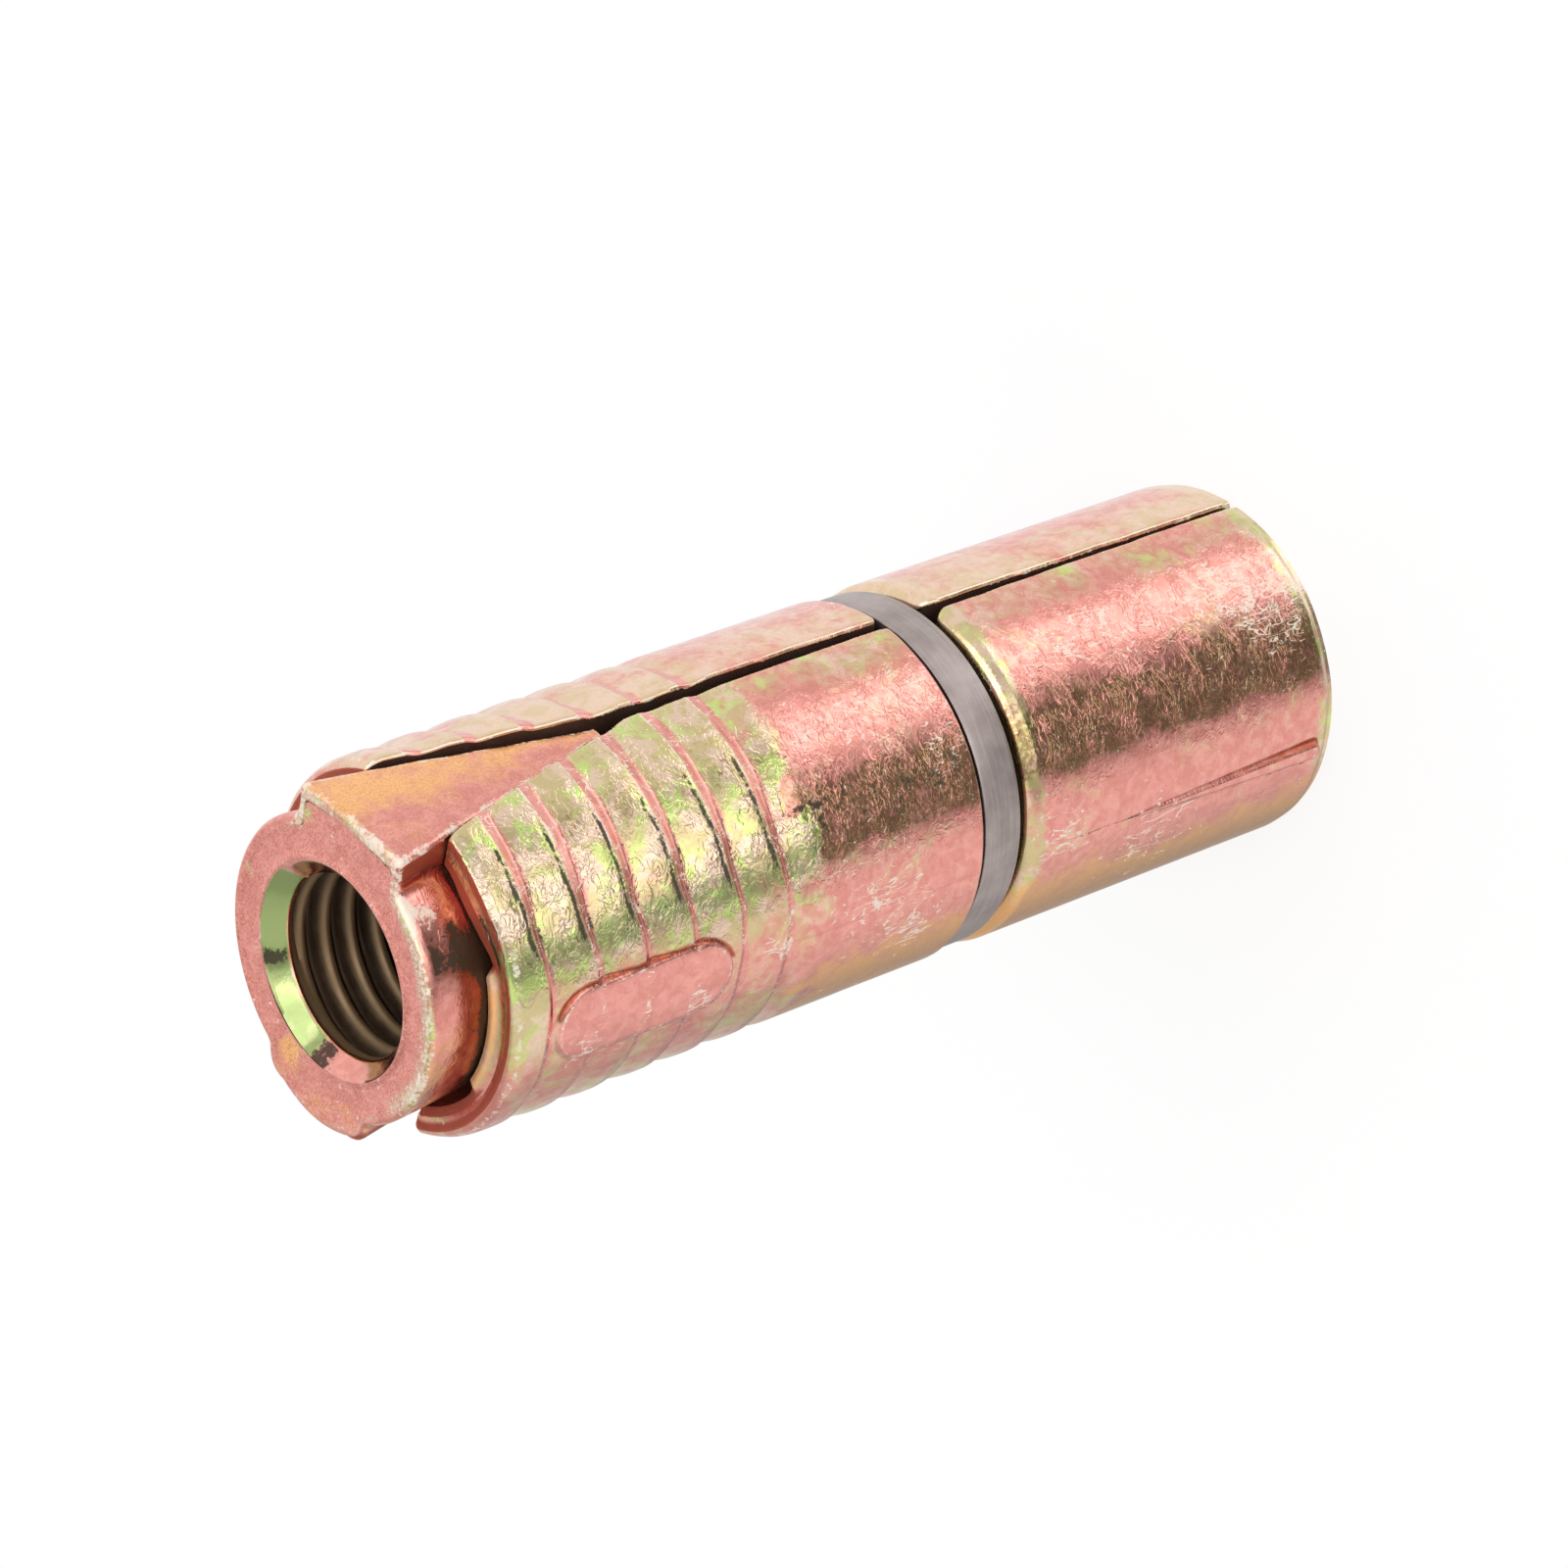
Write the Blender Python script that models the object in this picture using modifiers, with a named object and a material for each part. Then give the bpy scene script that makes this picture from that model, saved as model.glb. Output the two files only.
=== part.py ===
"""Expansion anchor for a machine bolt: a cone nut, two shell halves and a spring ring.

The anchor stands on its rear end: +Z is up, Z = 0 is the rear end face and the
nut's front face is on top. The axis of the anchor is the Z axis. The splits lie
on the +X and -X sides, and the near half is on the -Y side. All sizes are in
millimetres and are turned into metres when a mesh is made.

Distances called "depth" are measured down from the nut's front face, the way
the bolt pulls the nut.
"""

import math

import bmesh
import bpy
from mathutils import Matrix
from mathutils import Vector

MM = 0.001

# Overall sizes
LENGTH = 67.0
SHELL_RADIUS = 11.0
SEGMENTS = 88
WELD = 0.004

# Shell: front end and inner cone
FRONT_END_DEPTH = 3.8
FRONT_WALL = 1.7
FRONT_CORNER_RADIUS = 1.5
FRONT_CORNER_DROP = 0.62
CONE_SLOPE = 0.1
REAR_MOUTH_CHAMFER = 0.6

# Barbs: rounded humps with a short drop behind each crest
BARB_COUNT = 6
BARB_PITCH = 3.43
FIRST_CREST_DEPTH = 6.4
CREST_SINK = 0.04
BARB_HEIGHT = 0.26
CREST_DROP_SHARE = 0.12
VALLEY_SHARE = 0.30
NECK_BLEND = 1.6

# Retaining ring
RING_RECESS = 0.25
RING_THICKNESS = 0.8
RING_WIDTH = 2.75
RING_SIDE_CLEARANCE = 0.045
RING_REAR_GAP = 0.55
RING_INSIDE_CLEARANCE = 0.19
RING_EDGE_EASE = 0.12
RING_BUTT_GAP = 1.2
RING_BUTT_ANGLE = math.radians(112.0)

# Ring groove and the shoulder behind it
GROOVE_START_DEPTH = 38.5
GROOVE_LIP = 0.2
SHOULDER_RADIUS = 0.95
REAR_CORNER_RADIUS = 0.75

# Split between the halves: nearly shut at the rear, open at the front
REAR_HALF_GAP = 0.15
SPLIT_SPLAY = math.radians(0.42)

# Oval pad among the barbs and rib on the rear section, at mid-half
PAD_START_DEPTH = 7.2
PAD_LENGTH = 12.3
PAD_WIDTH = 4.5
PAD_STAND = 0.14
RIB_GROOVE_MARGIN = 6.4
RIB_REAR_MARGIN = 1.0
RIB_WIDTH = 1.5
RIB_HEIGHT = 0.45
RIB_SINK = 0.12

# Bolt thread in the cone nut, and the bolt's clearance in the shell
THREAD_MAJOR_RADIUS = 6.35
THREAD_HEIGHT = 1.0
BOLT_CLEARANCE = 0.45
MOUTH_EASE = 0.07
MOUTH_DEPTH = 1.1

# Cone nut
NUT_SIDE_GAP = 0.62
NUT_TRAVEL = 5.0
NUT_TAIL_BEYOND_KEY = 0.9
NUT_EDGE_ROUND = 0.5
NUT_TAIL_CHAMFER = 0.5
CAVITY_ROOM = 1.8

# Keys of the cone nut
KEY_LENGTH = 17.3
KEY_HALF_WIDTH = 4.5
KEY_TIP_HALF_WIDTH = 0.5
KEY_FRONT_SINK = 1.45
KEY_TIP_SINK = 0.8
KEY_RIDGE = 0.25
KEY_SIDE_GAP = 0.2

# Sizes that follow from those above
FRONT_INNER_RADIUS = SHELL_RADIUS - FRONT_WALL
THREAD_MINOR_RADIUS = THREAD_MAJOR_RADIUS - THREAD_HEIGHT
MOUTH_RADIUS = THREAD_MAJOR_RADIUS + MOUTH_EASE
BOLT_PASSAGE_RADIUS = THREAD_MAJOR_RADIUS + BOLT_CLEARANCE
NUT_LENGTH = KEY_LENGTH + NUT_TAIL_BEYOND_KEY
NUT_CONE_DROP = CONE_SLOPE * (FRONT_END_DEPTH - NUT_EDGE_ROUND)
NUT_FACE_RADIUS = FRONT_INNER_RADIUS - NUT_SIDE_GAP + NUT_CONE_DROP
NUT_TAIL_RADIUS = NUT_FACE_RADIUS - CONE_SLOPE * (NUT_LENGTH - NUT_EDGE_ROUND)
CAVITY_END_DEPTH = NUT_LENGTH + NUT_TRAVEL + CAVITY_ROOM
KEY_TAPER = (KEY_HALF_WIDTH - KEY_TIP_HALF_WIDTH) / KEY_LENGTH
HALF_SWING = KEY_TAPER * NUT_TRAVEL / (LENGTH - KEY_LENGTH)
RING_OUTER_RADIUS = SHELL_RADIUS - RING_RECESS
RING_INNER_RADIUS = RING_OUTER_RADIUS - RING_THICKNESS
RING_ROOM = RING_INSIDE_CLEARANCE + HALF_SWING * (LENGTH - GROOVE_START_DEPTH)
GROOVE_FLOOR_RADIUS = RING_INNER_RADIUS - RING_ROOM
RING_FRONT_GAP = RING_SIDE_CLEARANCE + HALF_SWING * SHELL_RADIUS
RING_FRONT_DEPTH = GROOVE_START_DEPTH + RING_FRONT_GAP
RING_REAR_DEPTH = RING_FRONT_DEPTH + RING_WIDTH
GROOVE_END_DEPTH = RING_REAR_DEPTH + RING_REAR_GAP
RIB_START_DEPTH = GROOVE_END_DEPTH + RIB_GROOVE_MARGIN


def clear_scene():
    """Remove everything that an empty session starts with."""
    for item in list(bpy.data.objects):
        bpy.data.objects.remove(item, do_unlink=True)
    for data in list(bpy.data.meshes):
        bpy.data.meshes.remove(data)


def new_collection(name, hidden=False):
    """Return a collection linked to the scene."""
    collection = bpy.data.collections.new(name)
    bpy.context.scene.collection.children.link(collection)
    collection.hide_render = hidden
    return collection


def height(depth):
    """Height above the rear end face of a point at this depth."""
    return LENGTH - depth


def mesh_object(name, collection, verts, faces=(), edges=()):
    """Make an object from points in millimetres."""
    data = bpy.data.meshes.new(name)
    points = [(x * MM, y * MM, z * MM) for x, y, z in verts]
    data.from_pydata(points, list(edges), list(faces))
    data.update()
    item = bpy.data.objects.new(name, data)
    collection.objects.link(item)
    return item


def turned(name, collection, profile, angle=math.tau, steps=SEGMENTS):
    """Turn a closed profile of (radius, depth) points about the axis.

    The profile starts at the front, runs down the outer side and comes back
    up the inner side.
    """
    verts = [(radius, 0.0, height(depth)) for radius, depth in profile]
    count = len(verts)
    edges = [(i, (i + 1) % count) for i in range(count)]
    item = mesh_object(name, collection, verts, edges=edges)
    screw = item.modifiers.new("turn", "SCREW")
    screw.axis = "Z"
    screw.angle = angle
    screw.steps = steps
    screw.render_steps = steps
    screw.use_merge_vertices = angle >= math.tau
    screw.merge_threshold = 0.00001
    screw.use_normal_calculate = True
    return item


def prism(name, collection, outline, low, high, axis):
    """Extrude a closed outline between two planes.

    axis X takes an outline of (y, depth), and axis Y one of (x, depth).
    """
    count = len(outline)
    verts = []
    for level in (low, high):
        for across, depth in outline:
            if axis == "X":
                verts.append((level, across, height(depth)))
            else:
                verts.append((across, level, height(depth)))
    faces = [tuple(range(count)), tuple(range(2 * count - 1, count - 1, -1))]
    for i in range(count):
        j = (i + 1) % count
        faces.append((i, i + count, j + count, j))
    item = mesh_object(name, collection, verts, faces)
    face_outward(item)
    return item


def loft(name, collection, rings):
    """Skin a row of closed sections with equal point counts."""
    count = len(rings[0])
    verts = [point for ring in rings for point in ring]
    faces = [tuple(range(count))]
    last = (len(rings) - 1) * count
    faces.append(tuple(range(last + count - 1, last - 1, -1)))
    for row in range(len(rings) - 1):
        base = row * count
        for i in range(count):
            j = (i + 1) % count
            faces.append((base + i, base + count + i, base + count + j, base + j))
    item = mesh_object(name, collection, verts, faces)
    face_outward(item)
    return item


def face_outward(item):
    """Turn every face of a closed mesh outward."""
    work = bmesh.new()
    work.from_mesh(item.data)
    bmesh.ops.recalc_face_normals(work, faces=work.faces)
    work.to_mesh(item.data)
    work.free()
    item.data.update()


def combine(target, tool, operation):
    """Apply an exact Boolean of tool on target."""
    modifier = target.modifiers.new(tool.name, "BOOLEAN")
    modifier.operation = operation
    modifier.solver = "EXACT"
    modifier.object = tool
    return modifier


def bake(item):
    """Replace an object's mesh by the result of its modifiers."""
    depsgraph = bpy.context.evaluated_depsgraph_get()
    data = bpy.data.meshes.new_from_object(item.evaluated_get(depsgraph))
    work = bmesh.new()
    work.from_mesh(data)
    bmesh.ops.remove_doubles(work, verts=work.verts, dist=WELD * MM)
    bmesh.ops.dissolve_degenerate(work, edges=work.edges, dist=WELD * MM)
    bmesh.ops.triangulate(work, faces=work.faces)
    work.to_mesh(data)
    work.free()
    old = item.data
    item.modifiers.clear()
    item.data = data
    data.name = item.name
    bpy.data.meshes.remove(old)
    return item


def arc(centre_radius, centre_depth, radius_r, radius_d, start, end, count):
    """Points of a quarter round in the (radius, depth) plane."""
    points = []
    for i in range(count + 1):
        turn = start + (end - start) * i / count
        r = centre_radius + radius_r * math.cos(turn)
        d = centre_depth + radius_d * math.sin(turn)
        points.append((r, d))
    return points


def split_half_gap(depth):
    """Half the split's width between the splayed halves at this depth."""
    return REAR_HALF_GAP + (LENGTH - depth) * math.tan(SPLIT_SPLAY)


def key_half_width(depth):
    """Half the key's width at this depth below the nut's face."""
    return KEY_HALF_WIDTH - KEY_TAPER * depth


def barb_profile():
    """Outer profile of the barbs, from the first crest to the neck."""
    crest = SHELL_RADIUS - CREST_SINK
    floor = crest - BARB_HEIGHT
    points = []
    for index in range(BARB_COUNT):
        depth = FIRST_CREST_DEPTH + index * BARB_PITCH
        drop = depth + CREST_DROP_SHARE * BARB_PITCH
        valley = depth + VALLEY_SHARE * BARB_PITCH
        points.append((crest, depth))
        points.append((crest - 0.62 * BARB_HEIGHT, drop))
        points.append((floor, valley))
        if index < BARB_COUNT - 1:
            points.append((floor + 0.32 * BARB_HEIGHT, depth + 0.45 * BARB_PITCH))
            points.append((floor + 0.70 * BARB_HEIGHT, depth + 0.63 * BARB_PITCH))
            points.append((floor + 0.94 * BARB_HEIGHT, depth + 0.82 * BARB_PITCH))
    last = points[-1][1]
    points.append((floor + 0.55 * BARB_HEIGHT, last + 0.35 * NECK_BLEND))
    points.append((SHELL_RADIUS - 0.03, last + 0.8 * NECK_BLEND))
    points.append((SHELL_RADIUS, last + NECK_BLEND))
    return points


def shell_profile():
    """Wall section of the shell, both sides."""
    outer = [(FRONT_INNER_RADIUS + 0.12, FRONT_END_DEPTH)]
    corner = SHELL_RADIUS - FRONT_CORNER_DROP
    outer.append((corner, FRONT_END_DEPTH))
    outer += arc(
        corner,
        FRONT_END_DEPTH + FRONT_CORNER_RADIUS,
        FRONT_CORNER_DROP - 0.08,
        FRONT_CORNER_RADIUS,
        -math.pi / 2,
        0.0,
        4,
    )[1:]
    outer += barb_profile()
    outer.append((SHELL_RADIUS, GROOVE_START_DEPTH - GROOVE_LIP))
    outer.append((SHELL_RADIUS - GROOVE_LIP, GROOVE_START_DEPTH))
    outer.append((GROOVE_FLOOR_RADIUS, GROOVE_START_DEPTH))
    outer.append((GROOVE_FLOOR_RADIUS, GROOVE_END_DEPTH))
    outer += arc(
        SHELL_RADIUS - SHOULDER_RADIUS,
        GROOVE_END_DEPTH + SHOULDER_RADIUS,
        SHOULDER_RADIUS,
        SHOULDER_RADIUS,
        -math.pi / 2,
        0.0,
        4,
    )
    outer += arc(
        SHELL_RADIUS - REAR_CORNER_RADIUS,
        LENGTH - REAR_CORNER_RADIUS,
        REAR_CORNER_RADIUS,
        REAR_CORNER_RADIUS,
        0.0,
        math.pi / 2,
        4,
    )
    cone_radius = FRONT_INNER_RADIUS - CONE_SLOPE * (CAVITY_END_DEPTH - FRONT_END_DEPTH)
    cavity_radius = max(cone_radius, BOLT_PASSAGE_RADIUS + 0.1)
    step = cavity_radius - BOLT_PASSAGE_RADIUS
    inner = [
        (BOLT_PASSAGE_RADIUS + REAR_MOUTH_CHAMFER, LENGTH),
        (BOLT_PASSAGE_RADIUS, LENGTH - REAR_MOUTH_CHAMFER),
        (BOLT_PASSAGE_RADIUS, CAVITY_END_DEPTH + step),
        (cavity_radius, CAVITY_END_DEPTH),
        (FRONT_INNER_RADIUS, FRONT_END_DEPTH + 0.12),
    ]
    return outer + inner


def half_cutter(collection):
    """Everything on the far side of the near half's split faces."""
    surplus = key_half_width(0.0) + KEY_SIDE_GAP - split_half_gap(0.0)
    meet = surplus / (KEY_TAPER - math.tan(SPLIT_SPLAY))
    front = FRONT_END_DEPTH - 2.0
    edge = [
        (-key_half_width(front) - KEY_SIDE_GAP, front),
        (-split_half_gap(meet), meet),
        (-split_half_gap(LENGTH + 1.0), LENGTH + 1.0),
    ]
    back = SHELL_RADIUS + 2.0
    outline = edge + [(back, LENGTH + 1.0), (back, front)]
    reach = SHELL_RADIUS + 2.0
    return prism("half_cutter", collection, outline, -reach, reach, "X")


def pad_body(collection):
    """Oval pad, cut to a round outer face just above the barbs' crests."""
    radius = PAD_WIDTH / 2
    straight = PAD_LENGTH - PAD_WIDTH
    outline = []
    for i in range(9):
        turn = math.pi + math.pi * i / 8
        outline.append((radius * math.cos(turn), PAD_START_DEPTH + radius * (1 + math.sin(turn))))
    for i in range(9):
        turn = math.pi * i / 8
        depth = PAD_START_DEPTH + radius + straight + radius * math.sin(turn)
        outline.append((radius * math.cos(turn), depth))
    body = prism("pad", collection, outline, -SHELL_RADIUS - 1.0, -SHELL_RADIUS + 1.2, "Y")
    face = SHELL_RADIUS + PAD_STAND
    low = PAD_START_DEPTH - 1.0
    high = PAD_START_DEPTH + PAD_LENGTH + 1.0
    profile = [(face, low), (face, high), (1.0, high), (1.0, low)]
    limit = turned("pad_limit", collection, profile)
    combine(body, bake(limit), "INTERSECT")
    return bake(body)


def rib_body(collection):
    """Tapered rib that grows towards the rear end."""
    end = LENGTH - RIB_REAR_MARGIN
    root = SHELL_RADIUS - 0.6
    half = RIB_WIDTH / 2
    rings = []
    for share, width in ((0.0, 0.35), (0.35, 0.7), (0.8, 1.0), (0.94, 1.0), (1.0, 0.55)):
        depth = RIB_START_DEPTH + share * (end - RIB_START_DEPTH)
        grow = min(share / 0.8, 1.0)
        top = SHELL_RADIUS - RIB_SINK + (RIB_HEIGHT + RIB_SINK) * grow
        if share == 1.0:
            top -= 0.4 * RIB_HEIGHT
        w = half * width
        z = height(depth)
        ring = [(-w, -root, z), (-w, -top + 0.35 * RIB_HEIGHT * grow, z), (-0.6 * w, -top, z)]
        ring += [(0.6 * w, -top, z), (w, -top + 0.35 * RIB_HEIGHT * grow, z), (w, -root, z)]
        rings.append(ring)
    return loft("rib", collection, rings)


def near_half(parts, tools):
    """One half of the shell, on the -Y side."""
    item = turned("shield_half_near", parts, shell_profile())
    bake(item)
    combine(item, half_cutter(tools), "DIFFERENCE")
    bake(item)
    combine(item, pad_body(tools), "UNION")
    combine(item, rib_body(tools), "UNION")
    return bake(item)


def far_half(parts, near):
    """The same half, turned half a turn about the axis."""
    data = near.data.copy()
    data.name = "shield_half_far"
    data.transform(Matrix.Rotation(math.pi, 4, "Z"))
    item = bpy.data.objects.new("shield_half_far", data)
    parts.objects.link(item)
    return item


def nut_body(parts):
    """Round tapered body with the bolt's hole."""
    wall = NUT_TAIL_RADIUS - THREAD_MINOR_RADIUS
    chamfer = min(NUT_TAIL_CHAMFER, wall / 3)
    profile = [(MOUTH_RADIUS, 0.0)]
    profile += arc(
        NUT_FACE_RADIUS - NUT_EDGE_ROUND,
        NUT_EDGE_ROUND,
        NUT_EDGE_ROUND,
        NUT_EDGE_ROUND,
        -math.pi / 2,
        0.0,
        3,
    )
    profile += [
        (NUT_TAIL_RADIUS, NUT_LENGTH - chamfer),
        (NUT_TAIL_RADIUS - chamfer, NUT_LENGTH),
        (THREAD_MINOR_RADIUS + chamfer, NUT_LENGTH),
        (THREAD_MINOR_RADIUS, NUT_LENGTH - chamfer),
        (THREAD_MINOR_RADIUS, MOUTH_DEPTH),
    ]
    return bake(turned("cone_nut", parts, profile))


def key_body(name, collection, side):
    """One key: a wedge with a shallow roof, narrow at the rear."""
    front_root = (MOUTH_RADIUS + NUT_FACE_RADIUS - NUT_EDGE_ROUND) / 2 - 0.5
    tip_root = (THREAD_MINOR_RADIUS + NUT_TAIL_RADIUS) / 2
    front_reach = SHELL_RADIUS - KEY_FRONT_SINK
    tip_reach = SHELL_RADIUS - KEY_TIP_SINK
    rings = []
    for depth in (0.0, KEY_LENGTH):
        share = depth / KEY_LENGTH
        w = key_half_width(depth)
        root = front_root + (tip_root - front_root) * share
        reach = front_reach + (tip_reach - front_reach) * share
        ridge = reach + KEY_RIDGE * (1.0 - 0.6 * share)
        z = height(depth)
        ring = [(root, -w, z), (reach, -w, z), (ridge, 0.0, z), (reach, w, z), (root, w, z)]
        rings.append([(side * x, side * y, z) for x, y, z in ring])
    return loft(name, collection, rings)


def cone_nut(parts, tools):
    """Tapered nut with its two keys."""
    item = nut_body(parts)
    for name, side in (("key_upper", 1.0), ("key_lower", -1.0)):
        combine(item, key_body(name, tools, side), "UNION")
    return bake(item)


def retaining_ring(parts, tools):
    """Flat sprung band, open at a narrow butt gap."""
    front = RING_FRONT_DEPTH
    rear = RING_REAR_DEPTH
    inner = RING_INNER_RADIUS
    ease = RING_EDGE_EASE
    profile = [
        (inner, front),
        (RING_OUTER_RADIUS - ease, front),
        (RING_OUTER_RADIUS, front + ease),
        (RING_OUTER_RADIUS, rear - ease),
        (RING_OUTER_RADIUS - ease, rear),
        (inner, rear),
    ]
    item = bake(turned("retaining_ring", parts, profile))
    half = RING_BUTT_GAP / 2
    outline = [(-half, front - 1.0), (half, front - 1.0), (half, rear + 1.0), (-half, rear + 1.0)]
    gap = prism("ring_gap", tools, outline, inner - 1.0, RING_OUTER_RADIUS + 1.0, "X")
    gap.data.transform(Matrix.Rotation(RING_BUTT_ANGLE, 4, "Z"))
    combine(item, gap, "DIFFERENCE")
    return bake(item)


def paint(item, name, colour, metallic, roughness):
    """Give a piece its own plain material."""
    material = bpy.data.materials.new(name)
    material.use_nodes = True
    shader = material.node_tree.nodes["Principled BSDF"]
    shader.inputs["Base Color"].default_value = (*colour, 1.0)
    shader.inputs["Metallic"].default_value = metallic
    shader.inputs["Roughness"].default_value = roughness
    item.data.materials.clear()
    item.data.materials.append(material)


def set_origin(item, point):
    """Move an object's origin to a point in millimetres, with the mesh in place."""
    shift = Vector(point) * MM
    item.data.transform(Matrix.Translation(-shift))
    item.location = shift


def main():
    """Build the anchor."""
    clear_scene()
    parts = new_collection("anchor")
    tools = new_collection("cutters", hidden=True)
    near = near_half(parts, tools)
    far = far_half(parts, near)
    nut = cone_nut(parts, tools)
    ring = retaining_ring(parts, tools)
    for tool in tools.objects:
        tool.hide_render = True
        tool.display_type = "WIRE"
    paint(near, "zinc_near", (0.72, 0.50, 0.36), 0.9, 0.35)
    paint(far, "zinc_far", (0.70, 0.52, 0.38), 0.9, 0.35)
    paint(nut, "zinc_nut", (0.76, 0.46, 0.36), 0.9, 0.38)
    paint(ring, "steel_ring", (0.45, 0.42, 0.41), 1.0, 0.35)
    set_origin(near, (0.0, 0.0, 0.0))
    set_origin(far, (0.0, 0.0, 0.0))
    set_origin(nut, (0.0, 0.0, LENGTH))
    set_origin(ring, (0.0, 0.0, 0.0))


main()
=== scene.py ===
"""Looks of an expansion anchor: cone nut, two shell halves and a spring ring.

The anchor stands on its rear end. Z runs up its axis, Z = 0 is the rear end
face and the nut's front face is on top. The two splits lie on the +X and -X
sides, the near half on the -Y side. Sizes are in millimetres and become
metres when a mesh is made. A "depth" is measured down from the front face.
"""

import logging
import math
from dataclasses import dataclass
from enum import Enum

import bpy
import numpy as np
from mathutils import Matrix


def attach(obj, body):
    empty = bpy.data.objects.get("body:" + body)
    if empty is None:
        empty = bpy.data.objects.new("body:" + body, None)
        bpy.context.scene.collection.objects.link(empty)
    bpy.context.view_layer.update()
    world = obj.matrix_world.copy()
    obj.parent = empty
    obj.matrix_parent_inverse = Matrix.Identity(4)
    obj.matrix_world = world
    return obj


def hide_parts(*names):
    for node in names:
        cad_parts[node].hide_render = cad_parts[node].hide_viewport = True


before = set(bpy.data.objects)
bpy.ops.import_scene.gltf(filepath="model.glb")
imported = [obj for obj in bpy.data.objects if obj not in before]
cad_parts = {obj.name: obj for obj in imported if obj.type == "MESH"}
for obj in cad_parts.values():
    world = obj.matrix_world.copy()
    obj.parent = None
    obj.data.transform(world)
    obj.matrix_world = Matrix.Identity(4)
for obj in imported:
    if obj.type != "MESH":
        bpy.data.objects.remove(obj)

MM = 0.001  # a millimetre in metres
LENGTH = 67.0  # the anchor's, and so the height of its front face
SHARP_ANGLE = math.radians(58.0)  # an edge bent further than this stays sharp
FINE_STEPS = 4000  # samples under the curve that spaces out rows
RIPPLE_WAVES = 9  # sine waves in one ripple
RIPPLE_TOP = 4.0  # their usual height when they add up
QUARTER = math.pi / 2
LOG = logging.getLogger("anchor")

Array = np.ndarray
Socket = bpy.types.NodeSocket
Colour = tuple[float, float, float, float]
Marks = dict[str, Array]
Triple = tuple[float, float, float]
Cards = tuple[tuple[float, float], ...]
NOWHERE: Triple = (0.0, 0.0, 0.0)


class Side(Enum):
    """Which half of the shell a wall belongs to."""

    NEAR = "near"
    FAR = "far"


# Depth, distance round the barrel from the middle, and size of each patch.
SCUFFS = {
    Side.NEAR: (
        (30.5, 1.5, 3.2), (33.5, -2.0, 2.5), (44.8, 0.5, 2.2), (53.0, -1.8, 3.0), (64.5, 8.5, 2.6),
        (61.5, 10.5, 2.4), (17.8, -1.6, 1.6), (9.0, -1.8, 1.5), (22.8, 0.2, 1.2), (36.8, 8.0, 1.8),
    ),
    Side.FAR: (
        (37.5, -13.0, 2.5), (20.0, -12.0, 2.0), (50.0, 2.0, 4.0), (30.0, 6.0, 3.0), (14.0, 1.0, 2.5),
    ),
}


def linear(red: int, green: int, blue: int) -> Colour:
    """Turn a colour as seen on a screen into the renderer's linear values.

    Args:
        red: Red from 0 to 255.
        green: Green from 0 to 255.
        blue: Blue from 0 to 255.

    Returns:
        Linear red, green, blue and an alpha of one.
    """
    shares = (c / 255.0 for c in (red, green, blue))
    parts = (c / 12.92 if c <= 0.04045 else ((c + 0.055) / 1.055) ** 2.4 for c in shares)
    return (*parts, 1.0)


def ease(low: float, high: float, value: Array) -> Array:
    """Smooth step: zero below low, one above high, cubic between.

    Args:
        low: Value where the step starts.
        high: Value where it ends.
        value: Where to read it.

    Returns:
        The step at each value.
    """
    share = np.clip((value - low) / (high - low), 0.0, 1.0)
    return share * share * (3.0 - 2.0 * share)


def bell(away: Array, width: float) -> Array:
    """Bell curve: one where away is zero, 0.37 where it equals the width."""
    return np.exp(-((away / width) ** 2))


def hill(start: float, full: float, fading: float, end: float, value: Array) -> Array:
    """Flat-topped hill: a smooth step up followed by a smooth step down.

    Args:
        start: Value where the hill starts.
        full: Value where it has its full height of one.
        fading: Value where it starts to fall.
        end: Value where it is gone.
        value: Where to read it.

    Returns:
        The hill's height at each value.
    """
    return ease(start, full, value) * ease(end, fading, value)


def spot(beside: Array, along: Array, spread: float) -> Array:
    """Round bell: one in the middle, falling with the squared distance over the spread."""
    return np.exp(-(beside**2 + along**2) / spread)


def blend_max(first: Array, second: Array, soft: float) -> Array:
    """Larger of two heights, with the crease between them rounded.

    The result is the maximum plus a parabola that is soft / 4 high where the
    two are equal and ends where they differ by soft.

    Args:
        first: One surface's height.
        second: The other's height.
        soft: Difference over which they blend.

    Returns:
        The blended height.
    """
    gap = np.clip(soft - np.abs(first - second), 0.0, None)
    return np.maximum(first, second) + gap * gap / (4.0 * soft)


def ripple(points: Array, size: float, seed: int) -> Array:
    """Smooth unevenness of a cast surface, mostly between -1 and 1.

    The sum of some plane sine waves with seeded directions, phases and
    lengths near the given size.

    Args:
        points: Places in millimetres, last axis x, y, z.
        size: Usual distance between two swells.
        seed: Which set of waves.

    Returns:
        The height at each place.
    """
    dice = np.random.default_rng(seed)
    total = np.zeros(points.shape[:-1])
    for _ in range(RIPPLE_WAVES):
        way = dice.normal(size=3)
        way *= 2.0 * math.pi / (size * dice.uniform(0.7, 1.6) * np.linalg.norm(way))
        total += np.sin(points @ way + dice.uniform(0.0, 2.0 * math.pi))
    return total / RIPPLE_TOP


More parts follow.
